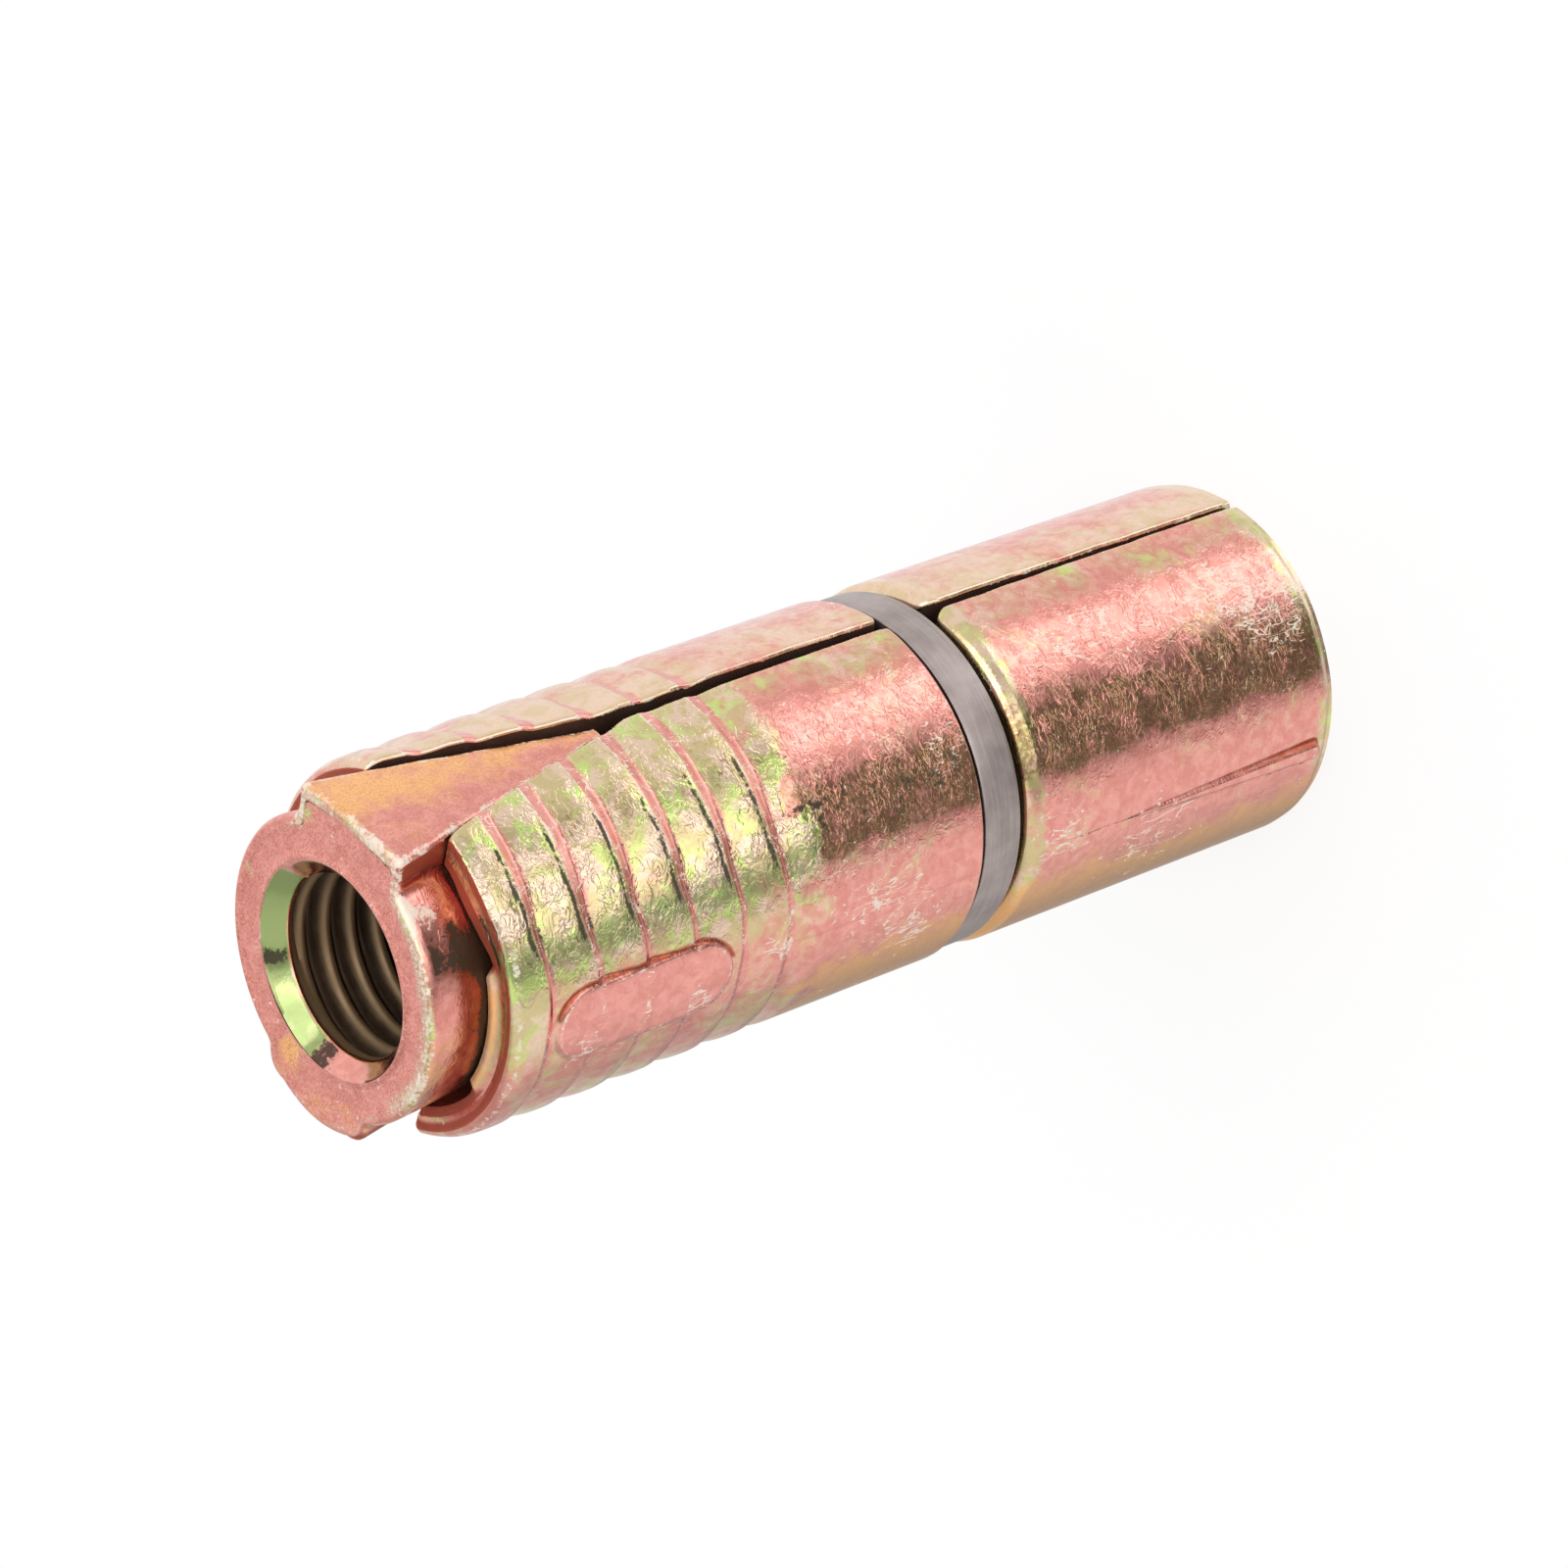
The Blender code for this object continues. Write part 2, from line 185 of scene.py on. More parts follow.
def spaced(low: float, high: float, count: int, crowds: list[Triple]) -> Array:
    """Positions from low to high that crowd together near chosen places.

    The density is one plus a bell curve for each place, and the positions cut
    the area under it into equal parts.

    Args:
        low: First position.
        high: Last position.
        count: How many positions.
        crowds: Each crowded place, its width and its extra density.

    Returns:
        The positions, in order.
    """
    fine = np.linspace(low, high, FINE_STEPS)
    weight = np.ones_like(fine)
    for place, width, extra in crowds:
        weight += extra * bell(fine - place, width)
    area = np.concatenate([[0.0], np.cumsum((weight[1:] + weight[:-1]) / 2.0)])
    return np.interp(np.linspace(0.0, area[-1], count), area, fine)


def chained(runs: list[tuple[object, ...]]) -> list[Array]:
    """Join runs end to end.

    Args:
        runs: Each run's columns, as arrays of one length or plain numbers.

    Returns:
        One array for each column.
    """
    spread = [np.broadcast_arrays(*run) for run in runs]
    return [np.concatenate(column) for column in zip(*spread)]


def polar(radius: Array, angle: Array) -> Array:
    """Points x, y at a distance from the axis and an angle from +X."""
    return np.stack([radius * np.cos(angle), radius * np.sin(angle)], axis=-1)


def raised(flat: Array, height: Array) -> Array:
    """Points x, y, z from points x, y and their heights."""
    return np.concatenate([flat, np.broadcast_to(height, flat.shape[:-1])[..., None]], axis=-1)


def quarter_turn(steps: int) -> Array:
    """Angles from zero to a quarter turn, without the first."""
    return np.linspace(0.0, QUARTER, steps + 1)[1:]


def loop_quads(rows: int, columns: int, close_rows: bool = False) -> Array:
    """Faces of a grid whose columns run round in a closed loop.

    Args:
        rows: Number of rows.
        columns: Number of points in each row.
        close_rows: Whether the last row joins the first.

    Returns:
        Four point numbers for each face.
    """
    row = np.arange(rows if close_rows else rows - 1)[:, None]
    column = np.arange(columns)[None, :]
    below = (row + 1) % rows
    beside = (column + 1) % columns
    quads = np.stack(
        [
            row * columns + column,
            below * columns + column,
            below * columns + beside,
            row * columns + beside,
        ],
        axis=-1,
    )
    return quads.reshape(-1, 4)


def signed_volume(points: Array, quads: Array) -> float:
    """Volume inside the faces, negative where they point inward.

    Args:
        points: Corner points.
        quads: Four point numbers for each face.

    Returns:
        The sum over both triangles of each face of the tetrahedron to the origin.
    """
    a, b, c, d = (points[quads[:, i]] for i in range(4))
    return float((np.cross(a, b) * c + np.cross(a, c) * d).sum() / 6.0)


def make_piece(
    name: str, points: Array, quads: Array, caps: list[list[int]], marks: Marks
) -> bpy.types.Object:
    """Make a closed mesh object from arrays.

    Args:
        name: The piece's name.
        points: Corner points in millimetres.
        quads: Four point numbers for each face.
        caps: Further faces of any size.
        marks: A number for each point under each attribute's name.

    Returns:
        The object, at the origin.
    """
    if signed_volume(points, quads) < 0.0:
        quads = quads[:, ::-1]
        caps = [cap[::-1] for cap in caps]
    corners = np.concatenate([quads.ravel(), *[np.array(cap) for cap in caps]]).astype(np.int32)
    sizes = np.array([4] * len(quads) + [len(cap) for cap in caps], dtype=np.int32)
    starts = np.concatenate([[0], np.cumsum(sizes)[:-1]]).astype(np.int32)
    data = bpy.data.meshes.new(name)
    data.vertices.add(len(points))
    data.vertices.foreach_set("co", (points * MM).astype(np.float32).ravel())
    data.loops.add(len(corners))
    data.loops.foreach_set("vertex_index", corners)
    data.polygons.add(len(sizes))
    data.polygons.foreach_set("loop_start", starts)
    data.update(calc_edges=True)
    data.validate()
    for title, numbers in marks.items():
        layer = data.attributes.new(title, "FLOAT", "POINT")
        layer.data.foreach_set("value", numbers.astype(np.float32).ravel())
    data.shade_smooth()
    data.set_sharp_from_angle(angle=SHARP_ANGLE)
    item = bpy.data.objects.new(name, data)
    bpy.context.scene.collection.objects.link(item)
    return item


class Wiring:
    """Node tree of a material or world, with a short call for each kind of node."""

    def __init__(self, owner: bpy.types.Material | bpy.types.World) -> None:
        """Start from the nodes that a new material or world has.

        Args:
            owner: The material or world.
        """
        owner.use_nodes = True
        self.tree = owner.node_tree

    def add(self, kind: str, **settings: object) -> bpy.types.Node:
        """Add a node.

        Args:
            kind: The node's type.
            settings: Its properties by name.

        Returns:
            The node.
        """
        node = self.tree.nodes.new(kind)
        for title, setting in settings.items():
            setattr(node, title, setting)
        return node

    def fill(self, node: bpy.types.Node, **numbers: object) -> None:
        """Set plain values on a node's inputs.

        Args:
            node: The node.
            numbers: A value under each input's name, with _ for a space.
        """
        for title, number in numbers.items():
            node.inputs[title.replace("_", " ")].default_value = number

    def feed(self, target: Socket, source: object) -> None:
        """Link a socket into another, or set a plain value on it."""
        if isinstance(source, Socket):
            self.tree.links.new(source, target)
        else:
            target.default_value = source

    def place(self) -> Socket:
        """Position on the piece in millimetres."""
        scaled = self.add("ShaderNodeVectorMath", operation="SCALE")
        self.feed(scaled.inputs[0], self.add("ShaderNodeTexCoord").outputs["Object"])
        self.fill(scaled, Scale=1.0 / MM)
        return scaled.outputs[0]

    def mark(self, title: str) -> Socket:
        """Number stored on the mesh under this name."""
        return self.add("ShaderNodeAttribute", attribute_name=title).outputs["Fac"]

    def stretch(
        self,
        vector: Socket,
        scale: Triple = (1.0, 1.0, 1.0),
        turn: Triple = NOWHERE,
        shift: Triple = NOWHERE,
    ) -> Socket:
        """Turned, shifted and stretched position.

        Args:
            vector: Position to change.
            scale: Factor along each axis.
            turn: Turn about each axis in degrees.
            shift: Shift along each axis.

        Returns:
            The changed position.
        """
        node = self.add("ShaderNodeMapping")
        self.feed(node.inputs["Vector"], vector)
        self.fill(node, Scale=scale, Rotation=[math.radians(t) for t in turn], Location=shift)
        return node.outputs[0]

    def noise(
        self, vector: Socket, scale: float, detail: float = 2.0, rough: float = 0.5, twist: float = 0.0
    ) -> Socket:
        """Soft random pattern between zero and one.

        Args:
            vector: Position to read it at.
            scale: Swells in a millimetre.
            detail: Number of finer layers.
            rough: Strength of the finer layers.
            twist: How far the pattern is drawn out of shape.

        Returns:
            The pattern's value.
        """
        node = self.add("ShaderNodeTexNoise")
        self.feed(node.inputs["Vector"], vector)
        self.fill(node, Scale=scale, Detail=detail, Roughness=rough, Distortion=twist)
        return node.outputs["Fac"]

    def sum(self, first: object, second: object) -> Socket:
        """First plus second."""
        return self.calculate("ADD", first, second)

    def times(self, first: object, second: object) -> Socket:
        """First times second."""
        return self.calculate("MULTIPLY", first, second)

    def larger(self, first: object, second: object) -> Socket:
        """Larger of first and second."""
        return self.calculate("MAXIMUM", first, second)

    def from_middle(self, source: Socket) -> Socket:
        """How far a pattern is from its middle value, either way."""
        return self.calculate("ABSOLUTE", self.sum(source, -0.5), 0.0)

    def calculate(self, operation: str, first: object, second: object) -> Socket:
        """Result of a Math node.

        Args:
            operation: The node's operation.
            first: First number or socket.
            second: Second number or socket.

        Returns:
            The node's output.
        """
        node = self.add("ShaderNodeMath", operation=operation)
        self.feed(node.inputs[0], first)
        self.feed(node.inputs[1], second)
        return node.outputs[0]

    def step(
        self, source: Socket, low: float, high: float, bottom: float = 0.0, top: float = 1.0
    ) -> Socket:
        """Smooth change from bottom to top as the source goes from low to high.

        Args:
            source: Value to read.
            low: Source where the change starts.
            high: Source where it ends.
            bottom: Result at low.
            top: Result at high.

        Returns:
            The changed value.
        """
        node = self.add("ShaderNodeMapRange", interpolation_type="SMOOTHSTEP")
        self.feed(node.inputs["Value"], source)
        self.fill(node, From_Min=low, From_Max=high, To_Min=bottom, To_Max=top)
        return node.outputs[0]

    def mix(self, share: object, first: object, second: object) -> Socket:
        """Colour between two colours.

        Args:
            share: Zero for the first colour, one for the second.
            first: First colour.
            second: Second colour.

        Returns:
            The mixed colour.
        """
        node = self.add("ShaderNodeMix", data_type="RGBA")
        # A colour mix keeps its factor, two colours and result at these places.
        for place, source in ((0, share), (6, first), (7, second)):
            self.feed(node.inputs[place], source)
        return node.outputs[2]

    def bump(self, height: Socket, distance: float, strength: object) -> Socket:
        """Surface normal bent by a height.

        Args:
            height: The height, as a number without a unit.
            distance: What a height of one stands for, in millimetres.
            strength: Share of the bending that is used.

        Returns:
            The bent normal.
        """
        node = self.add("ShaderNodeBump")
        self.fill(node, Distance=distance * MM)
        self.feed(node.inputs["Strength"], strength)
        self.feed(node.inputs["Height"], height)
        return node.outputs[0]


class Shading(Wiring):
    """Node tree of one metal finish."""

    def __init__(self, name: str) -> None:
        """Start a material that has only its shader and its output.

        Args:
            name: The material's name.
        """
        self.material = bpy.data.materials.new(name)
        super().__init__(self.material)
        self.shader = self.tree.nodes["Principled BSDF"]

    def dress(self, **sources: object) -> bpy.types.Material:
        """Feed the shader and hand over the finished material.

        Args:
            sources: A socket or value under each input's name, with _ for a space.

        Returns:
            The material.
        """
        for title, source in sources.items():
            self.feed(self.shader.inputs[title.replace("_", " ")], source)
        return self.material


@dataclass(frozen=True)
class ZincFinish:
    """Yellow passivated zinc: pink, green and amber tints over a cast skin."""

    name: str
    pink: Colour = linear(242, 168, 156)
    rose: Colour = linear(226, 150, 138)
    lime: Colour = linear(208, 226, 138)
    straw: Colour = linear(212, 194, 146)
    cream: Colour = linear(238, 208, 186)
    amber: Colour = linear(252, 192, 132)
    rust_and_shade: Colour = linear(172, 84, 62)
    moss_and_dark_band: Colour = linear(158, 174, 114)
    chalk_and_highlight: Colour = linear(238, 228, 212)
    soot_and_shade: Colour = linear(52, 42, 28)
    dust: Colour = linear(204, 172, 146)
    painted_dark_band: Colour = linear(152, 120, 84)
    roughness: float = 0.14
    crackle: float = 0.062
    shift: Triple = (0.0, 0.0, 0.0)

    def tint(self, s: Shading, at: Socket) -> Socket:
        """Passivation colour before wear.

        Wide clouds and small blotches of noise are added to the mesh's
        "green" mark, and the sum picks pink or green. The "amber", "rust" and
        "moss" marks, roughened by noise too, lay their own tints over that;
        the red of "rust" is partly painted shade and reflection, and "moss" is
        partly a painted dark reflection band.

        Args:
            s: The material being made.
            at: Position in millimetres.

        Returns:
            The colour.
        """
        clouds = s.noise(at, 0.2, 3.0, 0.6, 0.9)
        blotches = s.noise(at, 1.1, 3.0, 0.65, 0.6)
        field_sum = s.sum(s.times(clouds, 1.3), s.times(blotches, 0.8))
        level = s.sum(s.sum(field_sum, s.mark("green")), -1.05)
        pinks = s.mix(s.step(blotches, 0.35, 0.65), self.rose, self.pink)
        greens = s.mix(s.step(s.noise(at, 0.4, 2.0, 0.6, 1.0), 0.46, 0.64), self.straw, self.lime)
        pale = s.step(s.noise(at, 0.6, 3.0, 0.6, 0.8), 0.45, 0.6)
        greens = s.mix(s.times(pale, 0.85), greens, self.cream)
        base = s.mix(s.step(level, 0.0, 0.6), pinks, greens)
        warm = s.sum(s.times(s.noise(at, 0.5, 3.0, 0.6), 0.9), s.mark("amber"))
        base = s.mix(s.step(warm, 0.72, 1.15), base, self.amber)
        deep = s.sum(s.times(s.noise(at, 1.5, 3.0, 0.6), 0.5), s.mark("rust_and_shade"))
        base = s.mix(s.step(deep, 0.4, 1.1), base, self.rust_and_shade)
        return s.mix(s.step(s.sum(s.times(blotches, 0.6), s.mark("moss_and_dark_band")), 0.5, 0.9), base, self.moss_and_dark_band)

    def scratches(self, s: Shading, at: Socket, scuff_and_highlight: Socket) -> object:
        """Short pale scratches in three directions.

        Each is where stretched noise crosses its middle, kept only inside
        patches that grow with the mesh's "scuff" mark.

        Args:
            s: The material being made.
            at: Position in millimetres.
            scuff_and_highlight: The mark.

        Returns:
            One on a scratch, zero elsewhere.
        """
        total: object = 0.0
        for turn, scale, seed in ((35.0, 0.9, 3.0), (-50.0, 1.2, 11.0), (8.0, 0.7, 23.0)):
            drawn = s.stretch(at, (1.0, 1.0, 0.3), (turn, turn * 0.5, 0.0), (seed, seed, seed))
            line = s.step(s.from_middle(s.noise(drawn, scale, 2.0, 0.5, 0.6)), 0.014, 0.004)
            patch = s.noise(s.stretch(at, shift=(seed, 0.0, 5.0)), 1.1, 2.0)
            patch = s.step(s.sum(patch, s.times(scuff_and_highlight, 0.3)), 0.76, 0.84)
            total = s.larger(s.times(line, patch), total)
        return total

    def crackled(self, s: Shading, at: Socket) -> Socket:
        """Height of the fine wrinkles of the cast skin.

        Thin crests stand where noise of two sizes crosses its middle, stronger
        in some patches, and the noise is squeezed along Z so that they run
        round the barrel.

        Args:
            s: The material being made.
            at: Position in millimetres.

        Returns:
            The height, from zero to a little above one.
        """
        waves = s.noise(s.stretch(at, (1.0, 1.0, 1.6)), 0.7, 2.0, 0.5, 1.2)
        ripples = s.noise(s.stretch(at, (1.0, 1.0, 1.3)), 1.6, 1.0, 0.5, 0.9)
        patchy = s.step(s.noise(at, 0.6, 2.0, 0.6), 0.4, 0.62, 0.25, 1.0)
        crests = s.step(s.from_middle(waves), 0.1, 0.0)
        fine = s.step(s.from_middle(ripples), 0.12, 0.0)
        lines = s.sum(s.times(crests, 0.45), s.times(fine, 0.26))
        return s.sum(s.times(lines, patchy), s.times(waves, 0.9))

    def material(self) -> bpy.types.Material:
        """Build the finish.

        Returns:
            The material.
        """
        s = Shading(self.name)
        at = s.stretch(s.place(), shift=self.shift)
        ragged = s.sum(s.noise(at, 3.4, 3.0, 0.7), -0.5)
        coarse = s.sum(s.noise(at, 0.8, 2.0, 0.5), -0.5)
        uneven = s.sum(s.times(ragged, 1.3), s.times(coarse, 0.7))
        grit = s.noise(at, 7.0, 2.0, 0.6)
        scuff_and_highlight = s.mark("scuff_and_highlight")
        # Painted dark reflection band, with painted pale glints, rusty flecks and grey-brown dust.
        dark_band_share = s.step(s.sum(s.mark("painted_dark_band"), s.times(uneven, 1.2)), 0.2, 0.7)
        painted_glints = s.times(s.step(grit, 0.6, 0.68), s.step(coarse, -0.1, 0.15))
        dark_band_colour = s.mix(painted_glints, self.painted_dark_band, self.chalk_and_highlight)
        fleck = s.times(s.step(grit, 0.45, 0.62), s.times(s.mark("fleck"), 0.3))
        dusty = s.step(s.sum(s.mark("dust"), s.times(uneven, 0.9)), 0.3, 0.7)
        powdered = s.mix(s.step(grit, 0.5, 0.6), self.dust, self.chalk_and_highlight)
        powdered = s.mix(s.step(grit, 0.42, 0.36, 0.0, 0.5), powdered, self.soot_and_shade)
        # Bare pale metal on worn edges and scuffs, with painted highlights, and dark dirt with painted
        # shade.
        wear_and_highlight_share = s.step(s.sum(s.mark("wear_and_highlight"), uneven), 0.4, 0.66)
        powder = s.step(s.sum(s.sum(ragged, coarse), s.times(scuff_and_highlight, 0.15)), 0.36, 0.44)
        pale = s.larger(s.larger(wear_and_highlight_share, powder), self.scratches(s, at, scuff_and_highlight))
        dark = s.step(s.sum(s.mark("soot_and_shade"), s.times(uneven, 0.8)), 0.4, 0.62)
        colour = s.mix(s.times(dark_band_share, 0.9), self.tint(s, at), dark_band_colour)
        colour = s.mix(fleck, colour, self.rust_and_shade)
        colour = s.mix(s.times(dusty, 0.85), colour, powdered)
        colour = s.mix(s.times(pale, 0.8), colour, self.chalk_and_highlight)
        colour = s.mix(s.times(dark, 0.93), colour, self.soot_and_shade)
        # Dirt, wear and the painted shade and highlights are less metallic and rougher than the plating.
        matt = s.larger(s.larger(pale, s.times(dark, 0.8)), s.times(dusty, 0.8))
        matt = s.larger(matt, s.mark("matt"))
        rough = s.step(s.noise(at, 1.4, 3.0), 0.3, 0.7, self.roughness - 0.04, self.roughness + 0.07)
        grain = s.step(s.mark("grain"), 0.0, 1.0, 0.06, 1.0)
        return s.dress(
            Base_Color=colour,
            Metallic=s.step(matt, 0.0, 1.0, 1.0, 0.45),
            Roughness=s.sum(s.sum(rough, s.times(matt, 0.3)), s.mark("rough")),
            Normal=s.bump(self.crackled(s, at), self.crackle, grain),
        )


@dataclass(frozen=True)
class SteelFinish:
    """Plain spring steel, brushed round its circumference."""

    name: str
    light: Colour = linear(192, 180, 176)
    dark: Colour = linear(150, 136, 132)

    def material(self) -> bpy.types.Material:
        """Build the finish: noise drawn out round the ring gives its lines.

        Returns:
            The material.
        """
        s = Shading(self.name)
        at = s.place()
        lines = s.noise(s.stretch(at, (0.12, 0.12, 9.0)), 1.6, 4.0, 0.65)
        stain = s.noise(at, 0.5, 3.0, 0.6)
        share = s.sum(s.times(lines, 0.7), s.times(stain, 0.5))
        return s.dress(
            Base_Color=s.mix(s.step(share, 0.35, 0.85), self.dark, self.light),
            Metallic=1.0,
            Roughness=s.step(lines, 0.2, 0.8, 0.34, 0.5),
            Normal=s.bump(lines, 0.01, 0.5),
        )


@dataclass(frozen=True)
class ThreadFinish:
    """Dark, oily cut thread with paler crests."""

    name: str
    crest: Colour = linear(132, 108, 78)
    root: Colour = linear(70, 52, 34)

    def material(self) -> bpy.types.Material:
        """Build the finish: the crest mark and noise pick pale or dark.

        Returns:
            The material.
        """
        s = Shading(self.name)
        at = s.place()
        cloud = s.noise(at, 0.9, 3.0, 0.6)
        share = s.sum(s.times(s.mark("wear_and_highlight"), 0.8), s.times(cloud, 0.5))
        turning = s.noise(s.stretch(at, (0.3, 0.3, 6.0)), 2.0, 2.0)
        return s.dress(
            Base_Color=s.mix(s.step(share, 0.2, 1.0), self.root, self.crest),
            Metallic=0.5,
            Roughness=s.step(cloud, 0.3, 0.7, 0.36, 0.52),
            Normal=s.bump(turning, 0.012, 0.6),
        )


@dataclass
class WallPoints:
    """What the finish of a half's outside reads, one number for each point.

    Distances are in millimetres, angles in radians from the half's middle,
    and the features at the end are shares from zero to one.
    """

    depth: Array  # below the front face
    angle: Array
    across: Array  # distance round the barrel from the middle
    wander: Array  # depth as the wavy barbs read it
    from_split: Array  # distance from the nearer split edge
    behind: Array  # distance behind the first crest
    past: Array  # distance behind the crest before the point
    slope: Array  # width of the slope behind that crest
    fray: Array  # unevenness of the bands' edges
    swing: Array  # angle as the uneven dark streak reads it
    outside: Array  # distance outside the pad's outline
    rib_out: Array  # distance outside the rib's outline
    rib_slope: Array  # width of the rib's flank
    full: Array  # how full the rib is
    barbed: Array  # among the barbs
    band: Array  # on the slope behind a crest
    hump: Array  # between two slopes
    upper: Array  # on the side that lies uppermost in the photograph
    low: Array  # on the other side
    pad: Array
    flank: Array  # of the rib
    face: Array  # the front end


@dataclass
class ShellHalf:
    """Half of the split shell, with its barbs, pad, ring groove and rib."""

    side: Side
    radius: float = 11.0
    # Front end, inner cone and bolt passage.
    front_depth: float = 4.2
    front_inner: float = 9.05
    front_dish: float = 0.3
    front_corner: float = 1.3
    front_drop: float = 0.62
    cone_slope: float = 0.1
    cavity_depth: float = 25.0
    passage: float = 6.8
    mouth_chamfer: float = 0.6
    # Unevenness of the cast front end.
    lip_jut: float = 0.36
    lean: float = 0.36
    lip_growth: float = 0.3
    lip_close: float = 0.18
    # Barbs.
    barb_count: int = 6
    barb_pitch: float = 3.43
    first_crest: float = 6.4
    last_crest_end: float = 24.2
    barb_height: float = 0.33
    barbs_fade: float = 25.0
    # Neck, ring groove and rear section.
    neck_start: float = 27.0
    groove_brink: float = 0.25
    groove_start: float = 38.5
    groove_end: float = 42.1
    groove_floor: float = 9.1
    shoulder: float = 0.95
    rear_corner: float = 0.75
    # Split, and the slot in it for the nut's key.
    rear_gap: float = 0.15
    splay: float = math.tan(math.radians(0.42))
    slot_width: float = 4.7
    slot_taper: float = 4.0 / 17.3
    slot_turn: float = 0.31
    edge_round: float = 0.3
    # Pad, rib and mould seam.
    pad_start: float = 7.2
    pad_length: float = 12.3
    pad_width: float = 4.5
    pad_stand: float = 0.13
    rib_start: float = 48.0
    rib_end: float = 66.1
    rib_width: float = 1.5
    rib_height: float = 0.44
    rib_foot: float = 0.12
    seam_width: float = 0.12
    seam_height: float = 0.03
    # Rows of the grid's runs, points round its arcs, and steps over a split face.
    face_rows: int = 6
    barb_rows: int = 172
    neck_rows: int = 26
    rear_rows: int = 78
    columns: int = 215
    inner_columns: int = 34
    split_steps: tuple[float, ...] = (0.03, 0.25, 0.6, 0.97)

    @property
    def near(self) -> float:
        """One on the half on the photograph's side, zero on the other."""
        return float(self.side is Side.NEAR)

    def half_gap(self, depth: Array, sign: int) -> Array:
        """Distance of a split face from the plane between the halves.

        The larger of the splayed split and the slot for the nut's key, which
        is cut a little further on the side the nut is turned to.

        Args:
            depth: Depth below the front face.
            sign: Which of the two splits.

        Returns:
            The distance in millimetres.
        """
        split = self.rear_gap + (LENGTH - depth) * self.splay
        slot = self.slot_width + self.slot_turn * (sign + 1) / 2 - self.slot_taper * depth
        return blend_max(split, slot, 0.25)

    def front_face(self, radius: Array) -> Array:
        """Depth of the front end face, which dips evenly from its rim to the bore.

        Args:
            radius: Where to read it.

        Returns:
            The depth.
        """
        rim = self.radius - self.front_drop
        inward = np.clip((rim - radius) / (rim - self.front_inner), 0.0, 1.0)
        return self.front_depth + self.front_dish * inward

    def leaning(self, depth: Array, angle: Array) -> Array:
        """How far the casting's upper side runs forward of its middle.

        The near half was cast slightly askew: past the pad its barbs, and a
        little further round its front lip, lie forward, and the shift fades
        out along the neck.

        Args:
            depth: Depth of each point.
            angle: Angle from the middle of the half.

        Returns:
            The shift in millimetres.
        """
        barbs = ease(4.4, 6.2, depth)
        upper = ease(0.5, 0.85, angle) * (1.0 - barbs) + ease(0.28, 0.58, angle) * barbs
        return self.near * self.lean * upper * ease(29.0, 24.5, depth)

    def outer_chain(self) -> tuple[Array, Array]:
        """Outer wall section, from the middle of the front face to the rear face.

        Straight runs joined by quarter rounds, as radius and depth.

        Returns:
            Radius and depth of each row.
        """
        top = self.radius - self.front_drop
        shoulder = self.radius - self.shoulder
        last = self.radius - self.rear_corner
        brink = self.radius - self.groove_brink
        behind_front = self.front_depth + self.front_corner
        turn, lip = quarter_turn(10), quarter_turn(4)
        sine, cosine = 1.0 - np.sin(turn), 1.0 - np.cos(turn)
        start = np.linspace(self.front_inner + 0.6, top, self.face_rows)
        crests = [self.first_crest + self.barb_pitch * index for index in range(self.barb_count)]
        crowds = [(crest + 0.25, 0.4, 1.4) for crest in crests]
        crowds += [(self.pad_start, 0.4, 1.5), (self.pad_start + self.pad_length, 0.4, 1.5)]
        barbs = spaced(behind_front, self.neck_start, self.barb_rows, crowds)[1:]
        neck = np.linspace(self.neck_start, self.groove_start - self.groove_brink, self.neck_rows)[1:]
        crowds = [(self.rib_end, 0.6, 2.5), (self.rib_start, 1.0, 0.5)]
        rear = spaced(self.groove_end + self.shoulder, LENGTH - self.rear_corner, self.rear_rows, crowds)[1:]
        middle = (last + self.passage + self.mouth_chamfer) / 2 + 0.1
        end_face = np.linspace(last, middle, self.face_rows + 1)[1:]
        runs = [
            (start, self.front_face(start)),
            (top + self.front_drop * np.sin(turn), self.front_depth + self.front_corner * cosine),
            (self.radius, barbs),
            (self.radius, neck),
            (
                self.radius - self.groove_brink * (1.0 - np.cos(lip)),
                self.groove_start - self.groove_brink * (1.0 - np.sin(lip)),
            ),
            (np.linspace(brink, self.groove_floor, 7)[1:], self.groove_start),
            (self.groove_floor, np.linspace(self.groove_start, self.groove_end, 6)[1:]),
            (np.linspace(self.groove_floor, shoulder, 5)[1:], self.groove_end),
            (self.radius - self.shoulder * sine, self.groove_end + self.shoulder * cosine),
            (self.radius, rear),
            (self.radius - self.rear_corner * cosine, LENGTH - self.rear_corner * sine),
            (end_face, LENGTH),
        ]
        radius, depth = chained(runs)
        return radius, depth

